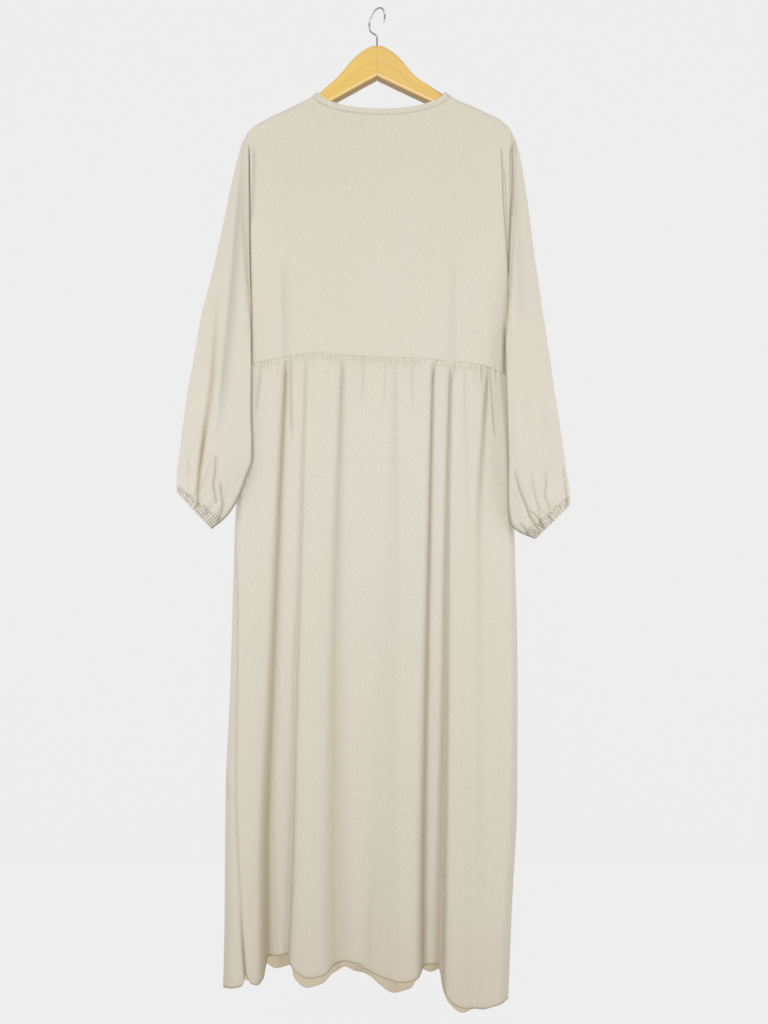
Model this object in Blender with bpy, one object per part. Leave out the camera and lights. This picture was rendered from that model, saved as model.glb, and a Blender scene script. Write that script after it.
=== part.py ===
"""A long abaya hanging on a wooden hanger.

The origin is the inside top of the hook, where it rests on a rail. +X runs to the right, -Y is the side
that is seen and +Z is up. The near side is the garment's back. Left and right in the names of the tables
are the sides of the picture. Tables and helpers are in millimetres, and each piece is turned into metres
as it is made.
"""

import math
from collections import namedtuple

import bmesh
import bpy

METRE = 0.001

# Cloth
WALL = 1.5
SEAM_GAP = 0.3
RIDGE_GAP = 1.6
SIDE_GAP = 0.45
ARM_GAP = 0.8
NECK_GAP = 0.9
WAIST_GAP = 0.5

# Hanger
WOOD_TOP_ROUND = 6.5
WOOD_BOTTOM_ROUND = 4.5
CORNER_STEPS = 3
WIRE_RADIUS = 1.6
HOOK_RADIUS = 20.0
HOOK_TURN = math.radians(-50.0)
HOOK_BOTTOM = -62.3
HOOK_BEND = -47.0
HOOK_LEAD = 8.0
HOOK_JOIN = math.radians(205.0)
HOOK_END = math.radians(-30.0)
HOOK_TIP = 0.55
HOOK_BEND_STEPS = 9
HOOK_ROUND_STEPS = 24

# Neck opening, an ellipse hanging from the two neck corners
NECK_MIDDLE = 7.5
NECK_HALF = 113.0
NECK_TOP = -143.0
NECK_DROP_NEAR = 35.0
NECK_DROP_FAR = 82.0
BINDING_WIDTH = 9.5
BINDING_WALL = 2.0
BINDING_RISE = 0.66  # how far the binding's ends rise up the shoulders, for each mm of its width

# Skirt panels, from the waist seam's level to the hem's
SHOULDER_LEVEL = -200.0
WAIST_LEVEL = -580.0
SKIRT_LENGTH = 1010.0

# Gathers under the waist seam: how many, how far down they run, and their height on the way
WAIST_GATHERS = 35
GATHERS_END = 58.0
GATHER_DEPTHS = (0, 12, 28, GATHERS_END)
GATHER_HEIGHTS = (0.7, 2.6, 2.0, 0.0)
GATHER_ROWS = (0.0, 7.0, 18.0, 34.0)
EDGE_SHARES = (0, 0.12, 0.25, 0.42, 0.7)
CUFF_GATHERS = 15

# Grid of the upper panels: columns over a shoulder, degrees round half of the neck, and rows below the
# top edge
SHOULDER_COLUMNS = 5
NECK_TURNS = (0, 3, 7, 12, 20, 32, 46, 60, 75, 90)
TOP_DEPTHS = (0.0, 1.2, 3.6, 8.0, 14.0, 30.0)
LOWER_SHARES = (0.12, 0.25, 0.4, 0.55, 0.7, 0.85, 1.0)

# Round edge of the cloth over the hanger's arms
RIDGE_ROUND = 12.0

# Armholes: where the loop starts to close towards the underarm, above it
ARM_CLOSING = 85.0
UNDERARM_LEFT = -465.3
UNDERARM_RIGHT = -495.0

Ridge = namedtuple("Ridge", "x z")
SHOULDERS = [
    Ridge(-240, -245),
    Ridge(-222, -220),
    Ridge(-212, -203.5),
    Ridge(-198, -191.4),
    Ridge(-181, -181.5),
    Ridge(-160, -171.6),
    Ridge(-140, -161.7),
    Ridge(-122, -153),
    Ridge(-105.5, -143.8),
    Ridge(-96.5, -136.7),
    Ridge(-89, -129),
    Ridge(0, -60),
    Ridge(104, -129),
    Ridge(111.5, -136.7),
    Ridge(120.5, -143.8),
    Ridge(138, -153),
    Ridge(160, -161.7),
    Ridge(180, -171.6),
    Ridge(201, -181.5),
    Ridge(214.5, -193),
    Ridge(222, -202.5),
    Ridge(231, -221),
    Ridge(245, -250),
]

# Half of the body at each height: both edges, the round of its edge, and how far each side swells
Level = namedtuple("Level", "z left right round near far")
BODY = [
    Level(-200, -211.2, 219.5, 13, 12, 12),
    Level(-330, -211, 218, 13, 13.5, 13.5),
    Level(-465, -212, 216.5, 13, 16, 16),
    Level(-600, -218, 212.5, 14, 18, 18),
    Level(-742, -227, 221, 14, 27, 24),
    Level(-875, -233.5, 226, 15, 33, 29),
    Level(-1105, -240, 230.5, 17, 41, 34),
    Level(-1300, -248, 229.5, 19, 47, 37),
    Level(-1470, -249, 221, 21, 51, 39),
    Level(-1670, -253, 213, 23, 55, 40),
]

Seam = namedtuple("Seam", "x z")
WAIST = [
    Seam(-216, -590),
    Seam(-202, -586),
    Seam(-153, -577),
    Seam(-94, -569),
    Seam(-54, -572.5),
    Seam(5, -575.5),
    Seam(64, -577),
    Seam(124, -583),
    Seam(170, -588.5),
    Seam(200, -599.5),
    Seam(214, -606),
]

HEM_NEAR = [
    Seam(-251, -1602),
    Seam(-236, -1586),
    Seam(-218, -1580),
    Seam(-205, -1569),
    Seam(-189, -1578),
    Seam(-175, -1564),
    Seam(-160, -1548),
    Seam(-143, -1546),
    Seam(-128, -1558),
    Seam(-106, -1570),
    Seam(-82, -1566),
    Seam(-57, -1551),
    Seam(-27, -1552),
    Seam(-4, -1570),
    Seam(37, -1575),
    Seam(68, -1569),
    Seam(89, -1560),
    Seam(104, -1586),
    Seam(129, -1614),
    Seam(155, -1622),
    Seam(188, -1614),
    Seam(205, -1612),
    Seam(214, -1633),
]

HEM_FAR = [
    Seam(-251, -1602),
    Seam(-212, -1634),
    Seam(-169, -1599),
    Seam(-113, -1635),
    Seam(-37, -1605),
    Seam(38, -1642),
    Seam(89, -1605),
    Seam(141, -1676),
    Seam(180, -1662),
    Seam(214, -1633),
]

# Strips of the near skirt that lie behind their neighbours, each between one fold and the next
Recess = namedtuple("Recess", "first depth_top depth_middle depth_hem")
RECESS_EDGE = 6.0
RECESSES_NEAR = [
    Recess(0, 1, 7, 24),
    Recess(5, 1, 7, 24),
]

# The side seams leave the body's edges as they go down: how far round each edge they have moved
Drift = namedtuple("Drift", "z left right")
SIDE_SEAMS = [
    Drift(-855, 0, 0),
    Drift(-985, 11, 4),
    Drift(-1105, 17, 8),
    Drift(-1240, 26, 12),
    Drift(-1370, 33, 16),
    Drift(-1470, 38, 20),
    Drift(-1600, 50, 25),
    Drift(-1700, 59, 30),
]

# Lengthwise folds. The x columns place each one at five heights, from the waist seam to the hem
DEPTH_SHARES = (0, 0.4, 1)
FOLD_REACH = 1.7
FOLD_START = 0.35
FOLD_FULL = 40.0
FOLD_HEIGHTS = (-590, -875, -1135, -1390, -1600)
Fold = namedtuple("Fold", "x1 x2 x3 x4 x5 depth_top depth_middle depth_hem width_top width_hem")
FOLDS_NEAR = [
    Fold(-148, -162, -172, -181, -186, 7, 11, 14, 6, 7),
    Fold(-114, -126, -131, -138, -145, 3, 3, 4, 6, 7),
    Fold(-56, -67, -74, -74, -60, 4, 10, 26, 6, 20),
    Fold(-24, -19, -14, -14, -24, 2, 5, 22, 8, 22),
    Fold(28, 23, 18, 13, 10, 2, 5, 6, 7, 16),
    Fold(91, 84, 78, 74, 72, 7, 8, 9, 6, 7),
    Fold(117, 113, 110, 107, 104, 7, 11, 13, 6, 7),
    Fold(146, 147, 148, 149, 150, 3, 3, 5, 6, 16),
    Fold(177, 165, 160, 158, 158, 4, 6, 4, 6, 14),
]
FOLDS_FAR = [
    Fold(-170, -168, -170, -172, -169, 4, 12, 20, 6, 16),
    Fold(-104, -92, -84, -76, -72, 3, 9, 10, 7, 18),
    Fold(-48, -44, -40, -38, -37, 5, 12, 18, 6, 18),
    Fold(12, 16, 20, 22, 20, 3, 8, 6, 8, 16),
    Fold(66, 76, 84, 88, 89, 5, 14, 22, 6, 16),
    Fold(128, 130, 134, 136, 140, 3, 9, 8, 7, 16),
    Fold(176, 174, 176, 180, 182, 4, 12, 14, 6, 16),
]

# Sleeves, from the armhole to the wrist: the two folded edges of the flattened tube, half its thickness,
# and how much of their depth the creases have there
Ring = namedtuple("Ring", "outer_x outer_z outer_y inner_x inner_z inner_y half folds")
SLEEVE_LEFT = [
    Ring(-222.5, -221, -1, -214, -480, -11, 12, 0),
    Ring(-231, -255, -3, -211, -500, -24, 12, 0.02),
    Ring(-243, -311, -6, -206, -530, -35, 12, 0.05),
    Ring(-257, -382, -9, -203, -567, -40, 12, 0.09),
    Ring(-272, -449, -12, -202, -607, -42, 12.5, 0.15),
    Ring(-287, -511, -15, -202, -647, -45, 13, 0.21),
    Ring(-297, -574, -18, -201, -685, -48, 14, 0.29),
    Ring(-307, -633, -22, -199, -717, -51, 15, 0.38),
    Ring(-314, -692, -26, -199, -743, -52, 15, 0.48),
    Ring(-319, -736, -29, -209, -773, -50, 14, 0.6),
    Ring(-322.5, -767, -32, -224, -810, -49, 12, 0.6),
    Ring(-322.5, -781, -34, -242, -836, -47, 10, 0.4),
    Ring(-321.5, -795, -36, -265.5, -855, -45, 8.5, 0.15),
]
SLEEVE_RIGHT = [
    Ring(231, -223, -1, 219, -509, -11, 12, 0),
    Ring(237.5, -257, -3, 216.5, -530, -24, 12, 0.02),
    Ring(246.5, -316, -6, 212.5, -559, -35, 12, 0.05),
    Ring(255, -387, -9, 211, -596, -40, 12, 0.09),
    Ring(264, -454, -12, 211, -636, -43, 12.5, 0.15),
    Ring(273, -518, -15, 211, -677, -46, 13, 0.21),
    Ring(282, -582, -18, 211, -715, -49, 14, 0.29),
    Ring(290, -646, -22, 211, -751, -52, 15, 0.38),
    Ring(298.5, -705, -26, 210.5, -790, -53, 15, 0.48),
    Ring(304.5, -750, -29, 211, -824, -50, 14, 0.6),
    Ring(308.5, -781, -32, 216, -849, -49, 12, 0.6),
    Ring(310, -797, -34, 230, -861, -47, 10, 0.4),
    Ring(311.5, -815, -36, 254.5, -871, -45, 8.5, 0.15),
]
SLEEVE_ROUND = 13.0
CREASE_FROM = 3
CUFF_WAVES = (2.0, 1.6, 1.2, 0.6)

# A sleeve's lengthwise folds: where each crosses the sleeve, from 0 at the outer edge to 1 at the inner one
Crease = namedtuple("Crease", "side across_top across_cuff depth width")
CREASES_LEFT = [
    Crease(-1, 0.46, 0.42, 12, 0.07),
    Crease(-1, 0.74, 0.76, 5, 0.08),
    Crease(1, 0.26, 0.22, 6, 0.08),
    Crease(1, 0.66, 0.62, 6, 0.08),
]
CREASES_RIGHT = [
    Crease(-1, 0.34, 0.36, 6, 0.08),
    Crease(-1, 0.62, 0.66, 6, 0.08),
    Crease(1, 0.40, 0.38, 7, 0.08),
    Crease(1, 0.70, 0.68, 5, 0.08),
]

# Hanger: the arms' top and bottom lines by distance from the joint, and half their thickness
Arm = namedtuple("Arm", "x top bottom half")
ARM_LEFT = [
    Arm(0.15, -62.7, -113.5, 9),
    Arm(8, -63.2, -118, 9),
    Arm(18, -68, -123, 9),
    Arm(31, -77, -130.5, 9),
    Arm(43, -88.5, -137, 9),
    Arm(51, -98.5, -141.5, 9),
    Arm(61, -110, -147, 9),
    Arm(71, -120, -152.5, 9),
    Arm(90, -136.2, -162.5, 9),
    Arm(98, -142.4, -167, 9),
    Arm(105.5, -146.8, -170.5, 9),
    Arm(122, -155.4, -178, 9),
    Arm(140, -163.7, -186.5, 9),
    Arm(160, -173.7, -196.5, 9),
    Arm(181, -183.7, -207, 9),
    Arm(197, -193.3, -214, 9),
    Arm(206, -200.7, -216, 8),
    Arm(211, -205.4, -215, 5.5),
    Arm(213.5, -208, -213, 3),
]
ARM_RIGHT = [
    Arm(0.15, -62.7, -113.5, 9),
    Arm(8, -63.2, -117.5, 9),
    Arm(18, -68, -122, 9),
    Arm(31, -77, -128.5, 9),
    Arm(41, -87, -133, 9),
    Arm(53, -101.5, -139, 9),
    Arm(64, -113.5, -144, 9),
    Arm(81, -125, -152, 9),
    Arm(95, -132.8, -158.5, 9),
    Arm(106, -139.2, -164, 9),
    Arm(120.5, -146.8, -170.5, 9),
    Arm(138, -155.4, -179, 9),
    Arm(160, -163.7, -189, 9),
    Arm(180, -173.7, -198.5, 9),
    Arm(200, -183.3, -207.5, 9),
    Arm(209, -190.7, -211, 8.5),
    Arm(215, -196.9, -212, 7),
    Arm(218.5, -201.4, -209, 4),
]


def clear_scene():
    for old in list(bpy.data.objects):
        bpy.data.objects.remove(old, do_unlink=True)


def material(name, colour, roughness, metallic=0.0):
    made = bpy.data.materials.new(name)
    made.use_nodes = True
    shader = made.node_tree.nodes["Principled BSDF"]
    shader.inputs["Base Color"].default_value = (*colour, 1.0)
    shader.inputs["Roughness"].default_value = roughness
    shader.inputs["Metallic"].default_value = metallic
    return made


def lerp(a, b, share):
    return a + (b - a) * share


def slopes(xs, ys):
    """The slope at each point of a curve that never swings past its points."""
    steps = [(ys[i + 1] - ys[i]) / (xs[i + 1] - xs[i]) for i in range(len(xs) - 1)]
    middle = [
        2 * a * b / (a + b) if a * b > 0 else 0.0 for a, b in zip(steps, steps[1:])
    ]
    return [steps[0], *middle, steps[-1]]


def smooth(xs, ys, x):
    """The height at x of a smooth curve through the points. The xs rise or fall all the way."""
    if xs[0] > xs[-1]:
        xs, ys = xs[::-1], ys[::-1]
    if x <= xs[0]:
        return ys[0]
    if x >= xs[-1]:
        return ys[-1]
    lean = slopes(xs, ys)
    i = max(k for k in range(len(xs) - 1) if xs[k] <= x)
    span = xs[i + 1] - xs[i]
    t = (x - xs[i]) / span
    return (
        ys[i] * (1 + 2 * t) * (1 - t) ** 2
        + ys[i + 1] * t * t * (3 - 2 * t)
        + lean[i] * span * t * (1 - t) ** 2
        - lean[i + 1] * span * t * t * (1 - t)
    )


def read(table, by, column, value):
    """A named column of a table, read smoothly at a value of another column."""
    return smooth(
        [getattr(row, by) for row in table],
        [getattr(row, column) for row in table],
        value,
    )


def quarter(share):
    """Height of a quarter round, from 0 at its edge to 1 at its top."""
    share = min(1.0, max(0.0, share))
    return math.sqrt(1 - (1 - share) ** 2)


def ridge(x):
    return read(SHOULDERS, "x", "z", x)


def neck_line(x, drop):
    """Height of the neck's edge, which hangs as half an ellipse between the neck's corners."""
    across = min(1.0, abs(x - NECK_MIDDLE) / NECK_HALF)
    return NECK_TOP - drop * math.sqrt(1 - across**2)


def fold_place(fold, z):
    return smooth(FOLD_HEIGHTS, (fold.x1, fold.x2, fold.x3, fold.x4, fold.x5), z)


def depth_at(row, down):
    return smooth(DEPTH_SHARES, (row.depth_top, row.depth_middle, row.depth_hem), down)


def step_up(away):
    """A smooth step from 0 to 1."""
    return 0.5 + 0.5 * math.tanh(away)


def folds_at(folds, recesses, x, z):
    """How far the lengthwise folds and the recessed strips take the cloth in at a place."""
    down = (FOLD_HEIGHTS[0] - z) / (FOLD_HEIGHTS[0] - FOLD_HEIGHTS[-1])
    down = min(1.0, max(0.0, down))
    inward = 0.0
    for fold in folds:
        width = lerp(fold.width_top, fold.width_hem, down)
        away = (x - fold_place(fold, z)) / width
        inward += depth_at(fold, down) * math.exp(-(away**2))
    for recess in recesses:
        start, end = (fold_place(folds[recess.first + k], z) for k in (0, 1))
        inside = step_up((x - start) / RECESS_EDGE) - step_up((x - end) / RECESS_EDGE)
        inward += depth_at(recess, down) * inside
    return inward


def waist_line(x):
    return read(WAIST, "x", "z", x)


def gather(x, below, side):
    """The small gathers under the waist seam: a wave that swells, then dies away."""
    if below > GATHERS_END:
        return 0.0
    left, right = WAIST[0].x, WAIST[-1].x
    uneven = 0.34 * math.sin(x / 27.0 + side) + 0.16 * math.sin(x / 9.7 - side)
    wave = math.cos(2 * math.pi * (WAIST_GATHERS * (x - left) / (right - left) + uneven))
    strength = 1 + 0.35 * math.sin(x / 17.3 + 2 * side)
    return smooth(GATHER_DEPTHS, GATHER_HEIGHTS, below) * strength * wave


def swell(side, x, z):
    """How far the cloth stands from the middle plane, away from the body's edges."""
    below = waist_line(x) - z
    full = read(BODY, "z", "near" if side < 0 else "far", z)
    if below < 0:
        return full * quarter((ridge(x) - z) / RIDGE_ROUND)
    folds, recesses = (FOLDS_NEAR, RECESSES_NEAR) if side < 0 else (FOLDS_FAR, ())
    started = min(1.0, FOLD_START + (1 - FOLD_START) * below / FOLD_FULL)
    return full - folds_at(folds, recesses, x, z) * started + gather(x, below, side)


def armhole_open(z, underarm):
    """1 where the armhole is open, falling to 0 at the underarm."""
    return math.sqrt(min(1.0, max(0.0, (z - underarm) / ARM_CLOSING)))


def body_point(z, along, height=None):
    """A point of the body's section at height z.

    along runs from the left edge over the near side to the right edge, and back over the far side. height is
    the point's own height where the row isn't level.
    """
    height = z if height is None else height
    left = read(BODY, "z", "left", z)
    right = read(BODY, "z", "right", z)
    edge = read(BODY, "z", "round", z)
    cap = edge * math.pi / 2
    total = right - left - 2 * edge + 2 * cap
    along %= 2 * total
    side = -1 if along <= total else 1
    mirrored = min(along, 2 * total - along)
    if mirrored < cap:
        x = left + edge * (1 - math.cos(mirrored / edge))
        closed = math.sin(mirrored / edge)
        opened = armhole_open(height, UNDERARM_LEFT)
        x = lerp(x, left + mirrored * edge / cap, opened)
    elif mirrored > total - cap:
        back = total - mirrored
        x = right - edge * (1 - math.cos(back / edge))
        closed = math.sin(back / edge)
        opened = armhole_open(height, UNDERARM_RIGHT)
        x = lerp(x, right - back * edge / cap, opened)
    else:
        x = left + edge + mirrored - cap
        closed = 1.0
        opened = 1.0
    out = side * swell(side, x, height) * lerp(closed, 1.0, opened)
    return x, out


def along_of(z, x):
    """Where on the near side of the section at height z a place x lies, between the two round edges."""
    left = read(BODY, "z", "left", z)
    edge = read(BODY, "z", "round", z)
    return edge * math.pi / 2 + x - left - edge


def section_length(z):
    left = read(BODY, "z", "left", z)
    right = read(BODY, "z", "right", z)
    edge = read(BODY, "z", "round", z)
    return right - left - 2 * edge + edge * math.pi


def strip_faces(first, second):
    """Faces between two rows of (place, index). Rows with different numbers of points get triangles."""
    if len(first) == len(second):
        pairs = zip(first, first[1:], second, second[1:])
        return [(a[1], c[1], d[1], b[1]) for a, b, c, d in pairs]
    faces = []
    i = j = 0
    while i < len(first) - 1 or j < len(second) - 1:
        step_first = j == len(second) - 1 or (
            i < len(first) - 1
            and first[i + 1][0] + first[i][0] <= second[j + 1][0] + second[j][0]
        )
        if step_first:
            faces.append((first[i][1], second[j][1], first[i + 1][1]))
            i += 1
        else:
            faces.append((first[i][1], second[j][1], second[j + 1][1]))
            j += 1
    return faces


def cloth_from_rows(name, rows, look, closed=False, wall=WALL):
    """A wall of cloth through rows of (place, x, y, z)."""
    points = []
    indexed = []
    for row in rows:
        start = len(points)
        points.extend((x * METRE, y * METRE, z * METRE) for _, x, y, z in row)
        line = [(place, start + k) for k, (place, _, _, _) in enumerate(row)]
        if closed:
            line.append((1.0, start))
        indexed.append(line)
    faces = []
    for first, second in zip(indexed, indexed[1:]):
        faces.extend(strip_faces(first, second))
    mesh = bpy.data.meshes.new(name)
    mesh.from_pydata(points, [], faces)
    mesh.validate()
    piece = bpy.data.objects.new(name, mesh)
    bpy.context.collection.objects.link(piece)
    mesh.materials.append(look)
    mesh.shade_smooth()
    solid = piece.modifiers.new("wall", "SOLIDIFY")
    solid.thickness = wall * METRE
    solid.offset = 0.0
    solid.use_quality_normals = True
    return piece


def neck_turns():
    """Angles along half of the neck's ellipse, closer together where it turns over the shoulders."""
    turns = [math.radians(turn) for turn in NECK_TURNS]
    return turns + [math.pi - turn for turn in reversed(turns[:-1])]


def bodice_columns():
    """The panel's columns from left to right: a kind, its place from the edge or across, and its top."""
    columns = [("left", share) for share in (0.0, 0.35, 0.7)]
    neck_left = NECK_MIDDLE - NECK_HALF
    neck_right = NECK_MIDDLE + NECK_HALF
    left = BODY[0].left + BODY[0].round
    right = BODY[0].right - BODY[0].round
    for k in range(SHOULDER_COLUMNS + 1):
        columns.append(("across", lerp(left, neck_left, k / (SHOULDER_COLUMNS + 1))))
    for turn in neck_turns():
        columns.append(("across", NECK_MIDDLE - NECK_HALF * math.cos(turn)))
    for k in range(1, SHOULDER_COLUMNS + 2):
        columns.append(("across", lerp(neck_right, right, k / (SHOULDER_COLUMNS + 1))))
    columns += [("right", share) for share in (0.7, 0.35, 0.0)]
    return columns


def column_along(column, z):
    """Where a column lies along the section at height z. It follows the body's edges."""
    kind, place = column
    edge = read(BODY, "z", "round", z)
    if kind == "left":
        return max(SEAM_GAP / 2, edge * math.pi / 2 * place)
    if kind == "right":
        return section_length(z) - max(SEAM_GAP / 2, edge * math.pi / 2 * place)
    top = BODY[0]
    share = (place - top.left - top.round) / (top.right - top.left - 2 * top.round)
    left = read(BODY, "z", "left", z) + edge
    right = read(BODY, "z", "right", z) - edge
    return along_of(z, lerp(left, right, share))


def bodice(name, side, drop, look):
    """An upper panel, from the shoulders and neck down to the waist seam."""
    columns = bodice_columns()
    rows = []
    for k in range(len(TOP_DEPTHS) + len(LOWER_SHARES)):
        row = []
        for order, column in enumerate(columns):
            x, _ = body_point(SHOULDER_LEVEL, column_along(column, SHOULDER_LEVEL))
            in_neck = abs(x - NECK_MIDDLE) < NECK_HALF - 0.01
            top = neck_line(x, drop) if in_neck else ridge(x)
            x, _ = body_point(WAIST_LEVEL, column_along(column, WAIST_LEVEL))
            end = waist_line(x) + WAIST_GAP / 2
            if k < len(TOP_DEPTHS):
                z = top - TOP_DEPTHS[k]
            else:
                z = lerp(top - TOP_DEPTHS[-1], end, LOWER_SHARES[k - len(TOP_DEPTHS)])
            x, y = body_point(z, column_along(column, z))
            y = max(abs(y), RIDGE_GAP / 2)
            row.append((order / (len(columns) - 1), x, side * y, z))
        rows.append(row)
    return cloth_from_rows(name, rows, look)


def drift(z, column):
    """How far the side seam has moved round the body's edge at height z."""
    return read(SIDE_SEAMS, "z", column, z)


def spread(start, end, shares):
    return [lerp(start, end, share) for share in shares]


def fold_columns(folds, z, across_fold):
    """Places along the section that follow the folds: each one's bottom and sides, and the roll after it."""
    down = min(1.0, max(0.0, (FOLD_HEIGHTS[0] - z) / (FOLD_HEIGHTS[0] - FOLD_HEIGHTS[-1])))
    edge = read(BODY, "z", "round", z)
    places = [fold_place(fold, z) for fold in folds]
    limits = [read(BODY, "z", "left", z) + edge, *places, read(BODY, "z", "right", z) - edge]
    found = []
    for k, fold in enumerate(folds):
        width = lerp(fold.width_top, fold.width_hem, down)
        for share in across_fold:
            room = places[k] - limits[k] if share < 0 else limits[k + 2] - places[k]
            found.append(places[k] + share * min(width * FOLD_REACH, room * 0.4))
        if k < len(folds) - 1:
            found.append((places[k] + places[k + 1]) / 2)
    return [along_of(z, x) for x in found]


def hem_line(x, y):
    return read(HEM_NEAR if y < 0 else HEM_FAR, "x", "z", x)


def skirt_row(places_at, z, share):
    """One row of a skirt panel, about the level z. Its points' heights follow the waist seam and the hem."""
    row = []
    level = places_at(z)
    for order, along in enumerate(level):
        x, y = body_point(z, along)
        height = lerp(waist_line(x) - WAIST_GAP / 2, hem_line(x, y), share)
        x, y = body_point(height, places_at(height)[order])
        row.append(((along - level[0]) / (level[-1] - level[0]), x, y, height))
    return row


def skirt_ends(side, z):
    """Where a panel starts and ends along the section, at the two side seams."""
    total = section_length(z)
    if side < 0:
        return drift(z, "left") + SIDE_GAP, total + drift(z, "right") - SIDE_GAP
    return total + drift(z, "right") + SIDE_GAP, 2 * total + drift(z, "left") - SIDE_GAP


def skirt(name, side, folds, across_fold, gather_steps, lower_rows, look):
    """A lower panel, gathered at the waist seam and falling in lengthwise folds to the hem."""

    def gathered_places(z):
        steps = WAIST_GATHERS * gather_steps
        return spread(*skirt_ends(side, z), [k / steps for k in range(steps + 1)])

    def folded_places(z):
        start, end = skirt_ends(side, z)
        middle = fold_columns(folds, z, across_fold)
        if side > 0:
            middle = [2 * section_length(z) - along for along in reversed(middle)]
        before = spread(start, middle[0], EDGE_SHARES)
        after = spread(end, middle[-1], EDGE_SHARES)
        return before + middle + after[::-1]

    rows = []
    for below in GATHER_ROWS:
        rows.append(skirt_row(gathered_places, WAIST_LEVEL - below, below / SKIRT_LENGTH))
    for k in range(lower_rows):
        share = lerp(GATHERS_END / SKIRT_LENGTH, 1.0, k / (lower_rows - 1))
        rows.append(skirt_row(folded_places, WAIST_LEVEL - SKIRT_LENGTH * share, share))
    return cloth_from_rows(name, rows, look)


def sleeve_ring(rings, creases, order, share_list, waves):
    """Points round the flattened sleeve at one ring of its table, the near side first, then the far one."""
    ring = rings[order]
    length = math.dist((ring.outer_x, ring.outer_z), (ring.inner_x, ring.inner_z))
    down = order / (len(rings) - 1)
    points = []
    for side in (-1, 1):
        shares = share_list[:-1] if side < 0 else share_list[:0:-1]
        for share in shares:
            edge = min(share, 1 - share) * length / SLEEVE_ROUND
            out = ring.half * quarter(edge)
            for crease in creases:
                if crease.side == side:
                    across = lerp(crease.across_top, crease.across_cuff, down)
                    reach = (share - across) / crease.width
                    out -= crease.depth * ring.folds * math.exp(-(reach**2))
            wave = waves * quarter(edge) * math.cos(2 * math.pi * CUFF_GATHERS * share)
            x = lerp(ring.outer_x, ring.inner_x, share)
            y = lerp(ring.outer_y, ring.inner_y, share) + side * (out + wave)
            z = lerp(ring.outer_z, ring.inner_z, share)
            place = share / 2 if side < 0 else 1 - share / 2
            points.append((place, x, y, z))
    return points


def armhole_ring(outward, edge_column, underarm, share_list):
    """The sleeve's first ring, which follows the armhole of the two upper panels."""
    top_x = BODY[0].left if outward < 0 else BODY[0].right
    top_z = ridge(top_x)
    points = []
    for side in (-1, 1):
        shares = share_list[:-1] if side < 0 else share_list[:0:-1]
        for share in shares:
            z = lerp(top_z, underarm, share)
            opened = armhole_open(z, underarm)
            edge = read(BODY, "z", edge_column, z)
            x = edge + outward * (ARM_GAP + WALL * (1 - opened))
            y = side * swell(side, edge, z) * opened
            place = share / 2 if side < 0 else 1 - share / 2
            points.append((place, x, y, z))
    return points


def sleeve(name, rings, creases, outward, edge_column, underarm, look):
    """A full sleeve, hanging flat from its armhole to a wrist gathered into its turned-up casing."""
    fine = sorted(
        {0.0, 0.015, 0.05, 0.12, 0.22, 0.88, 0.95, 0.985, 1.0}
        | {crease.across_top + step * crease.width for crease in creases for step in (-1, 0, 1)}
    )
    plain = (0.0, 0.012, 0.035, 0.07, 0.2, 0.35, 0.5, 0.65, 0.8, 0.9, 0.96, 0.985, 1.0)
    gathered = [k / (2 * CUFF_GATHERS) for k in range(2 * CUFF_GATHERS + 1)]
    rows = [armhole_ring(outward, edge_column, underarm, plain)]
    for order in range(len(rings)):
        from_cuff = len(rings) - 1 - order
        if from_cuff >= len(CUFF_WAVES):
            shares = fine if order >= CREASE_FROM else plain
            rows.append(sleeve_ring(rings, creases, order, shares, 0.0))
        else:
            rows.append(sleeve_ring(rings, creases, order, gathered, CUFF_WAVES[from_cuff]))
    return cloth_from_rows(name, rows, look, closed=True)


def neck_binding(look):
    """A narrow strip round the neck, over both panels' edges and over the hanger's arms."""
    turns = neck_turns()
    rows = []
    for inset in (-NECK_GAP, -BINDING_WIDTH):
        row = []
        for side, drop in ((-1, NECK_DROP_NEAR), (1, NECK_DROP_FAR)):
            for order, turn in enumerate(turns[:-1]):
                angle = turn if side < 0 else math.pi - turn
                x = NECK_MIDDLE - (NECK_HALF + inset) * math.cos(angle)
                z = NECK_TOP - inset * BINDING_RISE - (drop + inset * (1 - BINDING_RISE)) * math.sin(angle)
                y = side * RIDGE_ROUND * quarter((ridge(x) - z) / RIDGE_ROUND) if order else 0.0
                place = (order + (len(turns) - 1) * (side > 0)) / (2 * len(turns) - 2)
                row.append((place, x, y, z))
        rows.append(row)
    return cloth_from_rows("neck_binding", rows, look, closed=True, wall=BINDING_WALL)


def loft(name, rings, look):
    """A closed solid through rings with the same number of points."""
    shape = bmesh.new()
    built = [[shape.verts.new([value * METRE for value in point]) for point in ring] for ring in rings]
    for first, second in zip(built, built[1:]):
        for k, corner in enumerate(first):
            following = (k + 1) % len(first)
            shape.faces.new((corner, first[following], second[following], second[k]))
    shape.faces.new(built[0])
    shape.faces.new(built[-1])
    bmesh.ops.recalc_face_normals(shape, faces=shape.faces)
    mesh = bpy.data.meshes.new(name)
    shape.to_mesh(mesh)
    shape.free()
    mesh.materials.append(look)
    mesh.shade_smooth()
    mesh.set_sharp_from_angle(angle=math.radians(40))
    piece = bpy.data.objects.new(name, mesh)
    bpy.context.collection.objects.link(piece)
    return piece


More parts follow.
